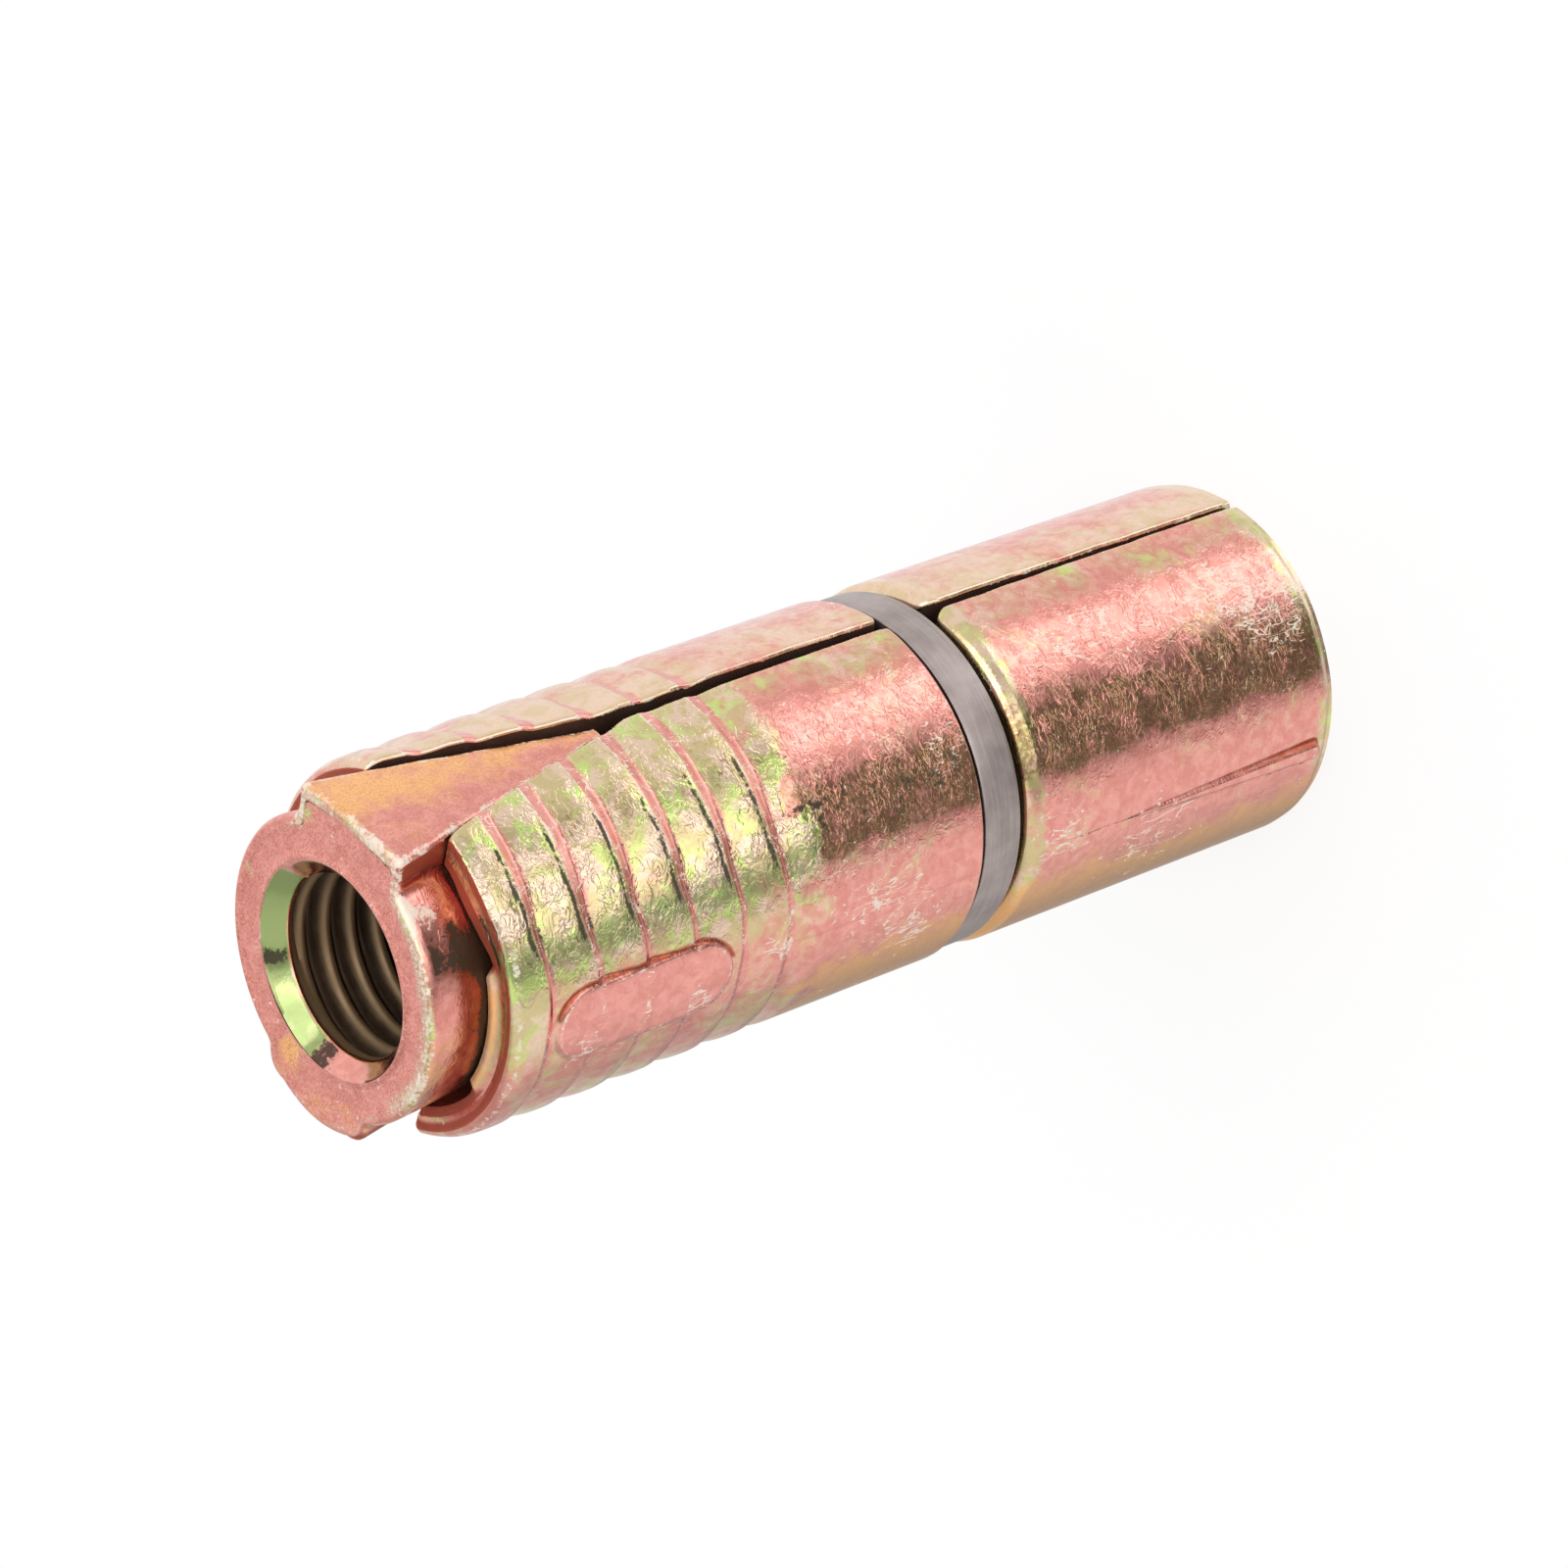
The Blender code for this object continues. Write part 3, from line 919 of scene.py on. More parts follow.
    def inner_chain(self, outer_depth: Array) -> tuple[Array, Array]:
        """Inner wall section with a row beside each outer row.

        The front and rear rows run over the end faces, and the rows between
        are spread down the cone, the step and the bolt's passage.

        Args:
            outer_depth: Depth of each outer row.

        Returns:
            Radius and depth of each row.
        """
        cone_end = self.front_inner + 0.2 - self.cone_slope * (self.cavity_depth - self.front_depth)
        mouth = self.passage + self.mouth_chamfer
        top = self.front_depth + self.front_dish
        corner_r = [self.front_inner, cone_end, self.passage, self.passage, mouth]
        corner_d = [top, self.cavity_depth, self.cavity_depth + 0.5, LENGTH - self.mouth_chamfer, LENGTH]
        ends = self.face_rows
        body = np.maximum.accumulate(outer_depth[ends:-ends])
        body = top + (body - body[0]) / (body[-1] - body[0]) * (LENGTH - top)
        body = 0.9 * body + 0.1 * np.linspace(top, LENGTH, len(body))
        radius = np.interp(body, corner_d, corner_r)
        middle = (self.radius - self.rear_corner + mouth) / 2 - 0.1
        first = np.linspace(self.front_inner + 0.5, self.front_inner + 0.05, ends)
        radius = np.concatenate([first, radius, np.linspace(mouth + 0.05, middle, ends)])
        depth = np.concatenate([self.front_face(first), body, np.full(ends, LENGTH)])
        return radius, depth

    def band(self, angle: Array) -> Array:
        """Width of the slope behind a crest, narrow at the pad and wide at the splits."""
        return 0.46 + 0.4 * ease(0.3, 1.0, np.abs(angle))

    def barbs(self, depth: Array, angle: Array) -> Array:
        """How far the barbs' surface lies below the crests.

        Behind each crest the surface drops, levels out in the valley and
        then rises in a convex hump to the next crest.

        Args:
            depth: Depth below the front face.
            angle: Angle from the middle of the half.

        Returns:
            Share of the barbs' height, zero on the crests and beyond the barbs.
        """
        behind = depth - self.first_crest
        index = np.clip(np.floor(behind / self.barb_pitch), 0, self.barb_count - 1)
        past = behind - index * self.barb_pitch
        wide = self.band(angle)
        fall = ease(-0.14, wide, past)
        rise = ease(wide * 0.8, self.barb_pitch - 0.3, past) ** 0.75
        rise = np.where(index >= self.barb_count - 1, ease(wide * 0.8, 2.7, past), rise)
        front = 0.12 * ease(0.2, 1.1, -behind) + ease(-0.14, wide, behind)
        return np.where(behind < 0.0, front, fall * (1.0 - rise))

    def pad_edge(self, d: Array, across: Array) -> Array:
        """Distance outside the pad's outline, two half circles joined by straights.

        Args:
            d: Depth of each point.
            across: Distance round the barrel from the half's middle.

        Returns:
            The distance, negative on the pad.
        """
        half = self.pad_width / 2
        along = np.clip(d, self.pad_start + half, self.pad_start + self.pad_length - half) - d
        return np.hypot(across, along) - half

    def rib_edge(self, d: Array, across: Array) -> tuple[Array, Array]:
        """Distance outside the rib's outline, and how full the rib is.

        The outline is a wedge that widens towards the rear and ends round.

        Args:
            d: Depth of each point.
            across: Distance round the barrel from the half's middle.

        Returns:
            The distance, negative on the rib, and a share from zero to one.
        """
        half = self.rib_width / 2
        full = np.clip((d - self.rib_start) / (self.rib_end - half - self.rib_start), 0.0, 1.0)
        past = np.clip(d - (self.rib_end - half), 0.0, None)
        return np.hypot(across, past) - half * full**0.85, full

    def surface(self, radius: Array, depth: Array, angle: Array) -> tuple[Array, Marks]:
        """Outer radius at each depth and angle, and the finish's marks.

        The section's radius less the barbs' drop, joined with the raised oval
        pad and the rib, with the unevenness of a casting added.

        Args:
            radius: The section's radius in each row.
            depth: Depth of each row.
            angle: Angle from the middle of the half, for each row and column.

        Returns:
            The radius at each point, and the marks.
        """
        seed = 40 if self.side is Side.FAR else 10
        across = angle * self.radius
        d = np.broadcast_to(depth[:, None], angle.shape)
        r = np.broadcast_to(radius[:, None], angle.shape).copy()
        spots = np.stack([across, d, np.full_like(d, 3.0 * seed)], axis=-1)
        # The lip, grown outward past the pad on the near half.
        grown = self.lip_growth * ease(0.55, 0.85, angle) * self.near * (d < 6.0)
        top = self.radius - self.front_drop
        r += grown * ease(self.front_inner + 0.6, top, r) * (1.0 - ease(top, self.radius, r))
        # The barbs, lower at the pad and beside the splits.
        wander = d + 0.07 * ripple(spots, 9.0, seed) + 0.035 * ripple(spots, 2.2, seed + 1)
        barrel = ease(self.front_depth + 0.4, 6.0, d) * (d < self.groove_start - 0.3)
        from_split = (np.abs(angle).max(axis=1, keepdims=True) - np.abs(angle)) * self.radius
        high = self.barb_height * (0.6 + 0.4 * ease(0.1, 0.6, np.abs(angle)))
        high = high * (0.55 + 0.45 * ease(0.0, 3.0, from_split))
        r -= barrel * self.barbs(wander, angle) * high
        # The pad, with a rounded brink and sides that steepen.
        outside = self.pad_edge(d, across)
        pad = self.radius + self.pad_stand - 0.04 * ease(-0.4, 0.0, outside)
        pad = pad - 0.5 * ease(-0.04, 0.4, outside) - 3.0 * ease(0.4, 0.9, outside)
        r = np.where((d > 5.5) & (d < 22.0), blend_max(r, pad, 0.09), r)
        # The rib, whose height and flanks grow towards the rear.
        rib_out, full = self.rib_edge(d, across)
        stand = self.rib_height * full**0.8 + self.rib_foot
        rib = self.radius - self.rib_foot + stand * (1.0 - ease(-self.rib_slope(full), 0.06, rib_out))
        behind = d > self.groove_end + 1.2
        r = np.where(behind & (full > 0.0), blend_max(r, rib, 0.06), r)
        # The mould's seam along the middle, and the casting's uneven skin.
        seamed = (d > 44.0) & (d < 52.0) | (d > 24.5) & (d < self.groove_start - 0.6)
        r -= self.seam_height * (bell(across, self.seam_width) * seamed)
        skin = (d > self.front_depth) & (r > self.radius - 0.6)
        r += skin * (0.02 * ripple(spots, 4.5, seed + 2) + 0.01 * ripple(spots, 1.6, seed + 3))
        # Nothing stands past the CAD's own outline.
        limit = np.where(rib_out < 0.1, self.rib_height, np.where(outside < 0.4, 0.138, -0.012))
        r = np.minimum(r, self.radius + limit)
        return r, self.finish_marks(self.wall_points(radius, d, angle, wander, from_split))

    def rib_slope(self, full: Array) -> Array:
        """Width of the rib's flank, which grows with the rib."""
        return 0.12 + 0.26 * full

    def wall_points(
        self, radius: Array, d: Array, angle: Array, wander: Array, from_split: Array
    ) -> WallPoints:
        """Work out what the finish of the outside reads at each point.

        Args:
            radius: The section's radius in each row.
            d: Depth of each point.
            angle: Angle of each point from the half's middle.
            wander: Depth as the wavy barbs read it.
            from_split: Distance round the barrel from the nearer split edge.

        Returns:
            The distances and shares.
        """
        across = angle * self.radius
        spots = np.stack([across, d, 0.0 * d], axis=-1)
        behind = wander - self.first_crest
        index = np.clip(np.floor(behind / self.barb_pitch), -1, self.barb_count - 1)
        past = behind - index * self.barb_pitch
        slope = self.band(angle)
        fray = 0.9 * ripple(spots, 3.0, 55) + 0.5 * ripple(spots, 0.9, 56)
        barbed = ease(self.barbs_fade + 2.2, self.barbs_fade, wander + fray)
        band = ease(-0.12, 0.03, past) * ease(slope + 0.3, slope - 0.25, past) * (behind > -0.12)
        outside = self.pad_edge(d, across)
        rib_out, full = self.rib_edge(d, across)
        rib_slope = self.rib_slope(full)
        flank = full * ease(-rib_slope, -0.6 * rib_slope, rib_out) * ease(0.16, 0.0, rib_out)
        front = ease(self.front_depth + 0.16, self.front_depth + 0.02, d)
        if self.side is Side.NEAR:
            upper, low = ease(0.0, 0.5, angle), ease(0.0, -0.45, angle)
        else:
            upper, low = ease(-0.9, -0.2, angle), ease(0.2, 1.0, angle)
        return WallPoints(
            depth=d,
            angle=angle,
            across=across,
            wander=wander,
            from_split=from_split,
            behind=behind,
            past=past,
            slope=slope,
            fray=fray,
            swing=angle + 0.035 * ripple(spots, 3.5, 57),
            outside=outside,
            rib_out=rib_out,
            rib_slope=rib_slope,
            full=full,
            barbed=barbed,
            band=band,
            hump=barbed * (1.0 - band),
            upper=upper,
            low=low,
            pad=ease(0.1, -0.05, outside),
            flank=flank * (across > 0.0) * (d < self.rib_end - 0.2),
            face=front * ease(self.radius - 0.55, self.radius - 0.66, radius)[:, None],
        )

    def finish_marks(self, at: WallPoints) -> Marks:
        """Where the outer finish is tinted, rough, worn, scuffed or dark, and where shade and highlights are
        painted.

        Args:
            at: What the finish reads.

        Returns:
            The marks by name.
        """
        d, upper = at.depth, at.upper
        rim = ease(1.3, 0.5, np.abs(d - self.groove_end - 0.4)) + ease(65.2, 66.6, d)
        grain = 0.5 + 0.5 * at.hump * upper - 0.9 * at.pad - 0.3 * rim - 0.45 * at.band * at.barbed
        # Painted highlight on the bright band behind the barbs, laid on as pale scuffs on the near half.
        painted_highlight = hill(0.86, 0.98, 1.16, 1.3, at.swing) * (1.0 - at.barbed)
        marks = self.tints(at, rim)
        marks |= self.dark_lines_and_shade(at)
        marks["wear_and_highlight"] = self.wear_and_highlight(at)
        marks["scuff_and_highlight"] = self.scuffs(d, at.across) + (0.8 * painted_highlight + 0.8 * at.band * at.barbed) * self.near
        marks["grain"] = np.clip(grain * (0.35 + 0.65 * upper), 0.0, 1.0)
        marks["rough"] = 0.02 + 0.05 * at.low + 0.2 * at.face
        marks["matt"] = 0.9 * at.face + 0.35 * at.flank
        marks["dust"] = 0.3 * ease(-0.1, -0.4, at.angle) * hill(4.3, 4.6, 5.6, 6.4, d)
        marks["fleck"] = 0.25 + 0.0 * d
        return {title: np.broadcast_to(numbers, d.shape) for title, numbers in marks.items()}

    def tints(self, at: WallPoints, rim: Array) -> Marks:
        """Colour of the plating: green humps and rims, pink bands, amber low side, with painted shade and
        reflection in the red and moss.

        Args:
            at: What the finish reads.
            rim: One on the rear section's two rims.

        Returns:
            The "green", "amber", "rust" and "moss" marks.
        """
        near, far = self.near, 1.0 - self.near
        angle = at.angle
        green = 0.6 * at.hump * (0.35 + 0.65 * at.upper) - 0.8 * at.pad
        green -= (0.45 - 0.25 * far - 0.2 * ease(0.9, 1.2, angle)) * at.band * at.barbed
        lip = ease(self.first_crest, self.first_crest - 0.3, at.wander)
        green += (0.75 * ease(-0.25, 0.25, angle) - 0.1) * lip
        green += 0.55 * rim + 0.3 * ease(5.0, 0.5, at.from_split) * (1.0 - at.band)
        green += 0.15 * far * ease(-0.6, -1.2, angle)
        plain = 1.0 - 0.3 * ease(0.8, 1.2, np.abs(angle))
        amber = (0.58 * at.low * plain * (1.0 - 0.85 * at.barbed) + 0.1) * (1.0 - at.pad)
        amber += 0.22 * bell(at.past - 0.4 * at.slope, 0.1) * at.barbed
        beside_pad = hill(-0.05, 0.1, 0.25, 0.5, at.outside) * ease(0.5, 1.0, at.across)
        # Red beside the pad, on the rib's flank and on the front face is painted shade and reflection.
        rust_and_shade = 0.75 * beside_pad * (at.depth < 21.0) + 0.8 * at.flank * ease(0.35, 0.6, at.full)
        rust_and_shade += 1.1 * at.face + 0.16 * at.low * at.barbed * near
        # Moss on the humps is a painted dark reflection band.
        moss_and_dark_band = (0.52 * hill(0.28, 0.4, 0.48, 0.62, angle) - 0.05) * at.hump * near - 0.05
        return {"green": green, "amber": amber, "rust_and_shade": rust_and_shade, "moss_and_dark_band": moss_and_dark_band}

    def wear_and_highlight(self, at: WallPoints) -> Array:
        """Bare metal on the crests, the lip, the splits' edges, the pad and the rib, and on the crests also
        a painted highlight.

        Args:
            at: What the finish reads.

        Returns:
            The "wear" mark.
        """
        d, full = at.depth, at.full
        crest = bell(at.past + 0.06, 0.1) + bell(at.past - self.barb_pitch + 0.06, 0.1)
        crest = crest * (at.behind > -0.4) * (at.wander < self.last_crest_end) * (0.4 + 0.6 * self.near)
        wear_and_highlight = 0.66 * crest * (0.1 + 0.9 * ease(0.5, 0.8, np.abs(at.angle))) * (at.outside > 0.3)
        wear_and_highlight += 0.5 * bell(at.outside + 0.12, 0.12) + 0.42 * ease(0.22, 0.02, at.from_split)
        wear_and_highlight += 0.45 * ease(0.35, 0.1, np.abs(d - self.front_depth - 0.4)) * (1.0 - at.face)
        wear_and_highlight += 0.2 * ease(66.0, 66.6, d)
        edge = bell(at.rib_out + at.rib_slope + 0.06, 0.1) * full
        lower = bell(at.rib_out + 0.04, 0.11) * ease(0.0, 0.2, full) * (at.across < 0.0)
        wear_and_highlight += 0.4 * edge * (d > self.rib_end - 0.9) + 0.55 * lower
        return wear_and_highlight + 0.2 * full * (at.rib_out < -0.4)

    def dark_lines_and_shade(self, at: WallPoints) -> Marks:
        """Dark lines, cracks and painted shade along the barrel.

        A painted dark reflection lies in front of each crest and on the humps,
        cracks run round the lip and along the seam, painted shade lines the pad
        and the rib, the groove is dark, and a painted dark reflection band with a
        darker core runs down the neck.

        Args:
            at: What the finish reads.

        Returns:
            The "soot" and "umber" marks.
        """
        near = self.near
        d, angle, swing, wander = at.depth, at.angle, at.swing, at.wander
        if self.side is Side.NEAR:
            reach = hill(0.38, 0.55, 0.98, 1.22, angle)
        else:
            reach = 0.3 * ease(0.1, 0.5, angle)
        # Painted dark reflection in front of each crest.
        line = at.past - self.barb_pitch + 0.28 + 0.1 * at.fray * ease(0.5, 0.8, angle)
        dark = np.exp(-((line / 0.19) ** 4)) * reach * (at.behind > -1.0)
        dark = dark * (wander < self.last_crest_end - 0.2)
        speckle = ease(at.slope - 0.2, at.slope, at.past) * ease(at.slope + 0.4, at.slope, at.past)
        soot_and_shade = 0.66 * dark + 0.46 * (speckle * reach * at.barbed)
        # Painted dark reflection on the humps.
        soot_and_shade += near * 0.2 * at.hump * hill(0.34, 0.44, 0.5, 0.62, angle)
        cracks = bell(wander - 4.8, 0.07) + 0.8 * bell(wander - 5.25, 0.05)
        soot_and_shade += 0.6 * cracks * hill(0.45, 0.6, 0.9, 1.05, angle)
        soot_and_shade += 0.36 * bell(wander + at.fray - 26.3, 0.35) * ease(0.5, 0.7, angle) * near
        # Painted shade along the rib's lower foot.
        under_rib = ease(0.02, 0.2, at.full) * (at.across < 0.0) * (d < 65.0)
        soot_and_shade += 0.5 * bell(at.rib_out - 0.12, 0.07) * under_rib
        soot_and_shade += 0.8 * ((d > self.groove_start - 0.02) & (d < self.groove_end + 0.02))
        soot_and_shade += 0.6 * (bell(at.across, 0.08) * ((d > 45.5) & (d < 51.0)))
        # Painted shade along the pad's edge.
        soot_and_shade += 0.42 * bell(at.outside - 0.08, 0.06) * ease(0.3, 1.2, at.across) * (d < 20.0)
        # Painted dark reflection band, with a darker core, down the neck.
        neck = ease(25.6, 26.8, wander + 0.5 * at.fray)
        dark_band_core = hill(0.42, 0.54, 0.7, 0.86, swing) * neck * (d < 66.0) * near
        soot_and_shade += 0.26 * dark_band_core * ease(48.0, 38.0, d) + 0.16 * dark_band_core
        dark_band = 0.62 * (hill(0.36, 0.46, 0.72, 0.96, swing) * neck)
        dark_band += 0.28 * at.hump * hill(0.9, 0.98, 1.03, 1.12, swing)
        return {"soot_and_shade": soot_and_shade, "painted_dark_band": dark_band * near * (d < 66.3)}

    def scuffs(self, d: Array, across: Array) -> Array:
        """Scuffed patches, each a bell curve round its middle.

        Args:
            d: Depth of each point.
            across: Distance round the barrel from the half's middle.

        Returns:
            How scuffed each point is.
        """
        total = np.full_like(d, 0.2)
        for middle, beside, size in SCUFFS[self.side]:
            total += spot(d - middle, across - beside, size**2)
        return total

    def build(self, finish: ZincFinish) -> bpy.types.Object:
        """Make the half as one closed wall.

        Every row is a loop: the outer arc, a split face, the inner arc and
        the other split face. The first and last loops are capped.

        Args:
            finish: What the half is dressed in.

        Returns:
            The piece.
        """
        out_r, out_d = self.outer_chain()
        in_r, in_d = self.inner_chain(out_d)
        outer, marks = self.outer_wall(out_r, out_d)
        inner, lip = self.inner_wall(in_r, in_d)
        steps = np.array(self.split_steps)[None, :, None]
        right = outer[:, -1:, :] * (1.0 - steps) + inner[:, :1, :] * steps
        left = inner[:, -1:, :] * (1.0 - steps) + outer[:, :1, :] * steps
        grid = np.concatenate([outer, right, inner, left], axis=1)
        if self.side is Side.FAR:
            grid = grid * np.array([-1.0, -1.0, 1.0])
        rows, columns = grid.shape[:2]
        marks = self.inner_marks(marks, in_d, lip)
        caps = self.caps(0, columns) + [cap[::-1] for cap in self.caps(rows - 1, columns)]
        name = self.side.value
        points = grid.reshape(-1, 3)
        item = make_piece("shield_wall_" + name, points, loop_quads(rows, columns), caps, marks)
        item.data.materials.append(finish.material())
        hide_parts("shield_half_" + name)
        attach(item, name)
        LOG.info("%s: %d faces", item.name, len(item.data.polygons))
        return item

    def outer_wall(self, radius: Array, depth: Array) -> tuple[Array, Marks]:
        """Outer arcs, one in each row, with the edges at the splits eased.

        Args:
            radius: The outer section's radius in each row.
            depth: Depth of each row.

        Returns:
            The points of each row, and the marks.
        """
        crowds = [(0.0, 0.17, 1.1), (-1.0, 0.035, 2.5), (1.0, 0.035, 2.5)]
        share = spaced(-1.0, 1.0, self.columns, crowds)
        first, last = (self.arc_end(radius, depth, sign)[:, None] for sign in (-1, 1))
        angle = share * np.where(share < 0.0, first, last)
        r, marks = self.surface(radius, depth, angle)
        left = (np.where(angle < 0, first, last) - np.abs(angle)) * radius[:, None]
        bite = np.clip(self.edge_round - left, 0.0, self.edge_round)
        r = r - (self.edge_round - np.sqrt(self.edge_round**2 - bite**2)) * 0.8
        dished = (depth - self.front_depth) / self.front_dish * (np.arange(len(depth)) < self.face_rows - 1)
        down = depth[:, None] - self.leaning(depth[:, None], angle) - self.flatter(angle) * dished[:, None]
        return np.stack([r * np.sin(angle), -r * np.cos(angle), LENGTH - down], axis=-1), marks

    def flatter(self, angle: Array) -> Array:
        """How much of the front face's dish is missing past the pad on the near half."""
        return self.front_dish * self.near * ease(0.35, 0.65, angle)

    def inner_wall(self, radius: Array, depth: Array) -> tuple[Array, Array]:
        """Inner arcs, one in each row, with the small lip at the front.

        Args:
            radius: The inner section's radius in each row.
            depth: Depth of each row.

        Returns:
            The points of each row, and where the lip juts inward.
        """
        flat = [QUARTER - np.arcsin(self.half_gap(depth, sign) / radius) for sign in (-1, 1)]
        r, d = radius[:, None], depth[:, None]
        share = np.linspace(1.0, -1.0, self.inner_columns)[None, :]
        turn = share * np.where(share < 0.0, flat[0][:, None], flat[1][:, None])
        lip = ease(0.5, 0.43, np.abs(turn + 0.05)) * ease(8.0, 4.6, d)
        close = self.lip_close * self.near * hill(0.45, 0.6, 0.9, 1.04, turn) * ease(9.0, 4.6, d)
        bore = r - self.lip_jut * lip - close * ease(9.6, 9.1, r)
        down = d - (self.front_dish + 0.12) * lip * ease(9.95, 9.3, r)
        down = np.where(d < 5.0, down, d)
        fade = ease(7.0, 4.6, d) * np.clip((d - self.front_depth) / self.front_dish, 0.0, 1.0)
        down = down - self.leaning(0.0 * d, turn) * ease(9.0, 4.6, d) - self.flatter(turn) * fade
        return np.stack([bore * np.sin(turn), -bore * np.cos(turn), LENGTH - down], axis=-1), lip

    def arc_end(self, radius: Array, depth: Array, sign: int) -> Array:
        """Angle at which the outer arc ends at a split, in every row.

        The split's half gap, with a ragged edge and with the corners at the
        ring groove rounded off.

        Args:
            radius: The section's radius in each row.
            depth: Depth of each row.
            sign: Which of the two splits.

        Returns:
            The angle from the middle of the half.
        """
        seed = 70 if self.side is Side.FAR else 20
        line = np.stack([depth, 0.0 * depth, 0.0 * depth], axis=-1)
        gap = self.half_gap(depth, sign) + 0.03 * ripple(line, 1.3, seed + sign)
        gap = np.maximum(gap + 0.03 * ripple(line, 4.0, seed + 5 + sign), 0.12)
        behind = np.clip(1.0 - np.abs(depth - self.groove_end) / 1.3, 0.0, 1.0) * (depth >= self.groove_end)
        before = np.clip(1.0 - (self.groove_start - depth) / 0.6, 0.0, 1.0) * (depth <= self.groove_start)
        gap = gap + 0.8 * (1.0 - np.sqrt(1.0 - behind**2)) + 0.35 * (1.0 - np.sqrt(1.0 - before**2))
        return QUARTER - np.arcsin(gap / radius)

    def inner_marks(self, marks: Marks, depth: Array, lip: Array) -> Marks:
        """Marks of the whole loop: the outside's, and plain inner faces with painted shade: dark on the
        splits, dark red inside.

        Args:
            marks: The outside's marks.
            depth: Depth of each inner row.
            lip: Where the inner lip juts, for the inner arc.

        Returns:
            The marks of every point.
        """
        # Painted shade on the split faces and the inner faces.
        on_split = {"soot_and_shade": 1.0, "green": -0.2, "rough": 0.12, "grain": 0.3}
        inside = {
            "soot_and_shade": 0.05 + 0.3 * ease(self.front_depth + 0.5, self.front_depth + 3.0, depth)[:, None],
            "rust_and_shade": 1.1 * (1.0 - lip) + 0.1 * lip,
            "green": -0.3 + 0.8 * lip,
            "amber": 0.5 * lip,
            "rough": 0.2,
            "matt": 0.8,
            "grain": 0.4,
        }
        full = {}
        for title, numbers in marks.items():
            side = np.full((len(lip), len(self.split_steps)), on_split.get(title, 0.0))
            middle = np.broadcast_to(inside.get(title, 0.0), lip.shape)
            full[title] = np.concatenate([numbers, side, middle, side], axis=1)
        return full

    def caps(self, row: int, columns: int) -> list[list[int]]:
        """Faces that close one end loop, each one inner step wide.

        Args:
            row: Which row.
            columns: Points in a row.

        Returns:
            Point numbers of each face.
        """
        first = row * columns
        n, m, k = self.columns, len(self.split_steps), self.inner_columns
        ratio = (n - 1) / (k - 1)
        faces = []
        for i in range(k - 1):
            low, high = round(i * ratio), round((i + 1) * ratio)
            outer = [first + c for c in range(low, high + 1)]
            inner_low = first + n + m + (k - 1 - i)
            inner = [inner_low - 1, inner_low]
            if i == k - 2:
                outer += [first + n + c for c in range(m)]
            if i == 0:
                inner += [first + n + m + k + c for c in range(m)]
            faces.append(outer + inner)
        return faces


@dataclass
class NutPoints:
    """What the nut's finish reads, one number for each point.

    Distances are in millimetres, and the features at the end are shares from
    zero to one.
    """

    depth: Array  # below the front face
    x: Array
    y: Array
    reach: Array  # distance from the axis
    turn: Array  # degrees round the axis from +X
    swing: Array  # uneven angle from -Y towards +X, in radians
    lip_shadow_depth: Array  # uneven depth, as the painted shadow beside the shell's lip reads it
    rusting: Array  # uneven depth, as the rust on the side reads it
    to_rim: Array  # distance inside the front face's outline
    key: Array
    top: Array  # of a key
    flank: Array  # of a key
    face: Array  # the front face
    side: Array  # the body beside the keys
    mouth: Array  # the countersink
    brink: Array  # on the edge round the front face
    right: Array  # towards the photograph's right
    burr: Array  # on the worn stretches of the edge
    ridge: Array  # along the upper key's edge


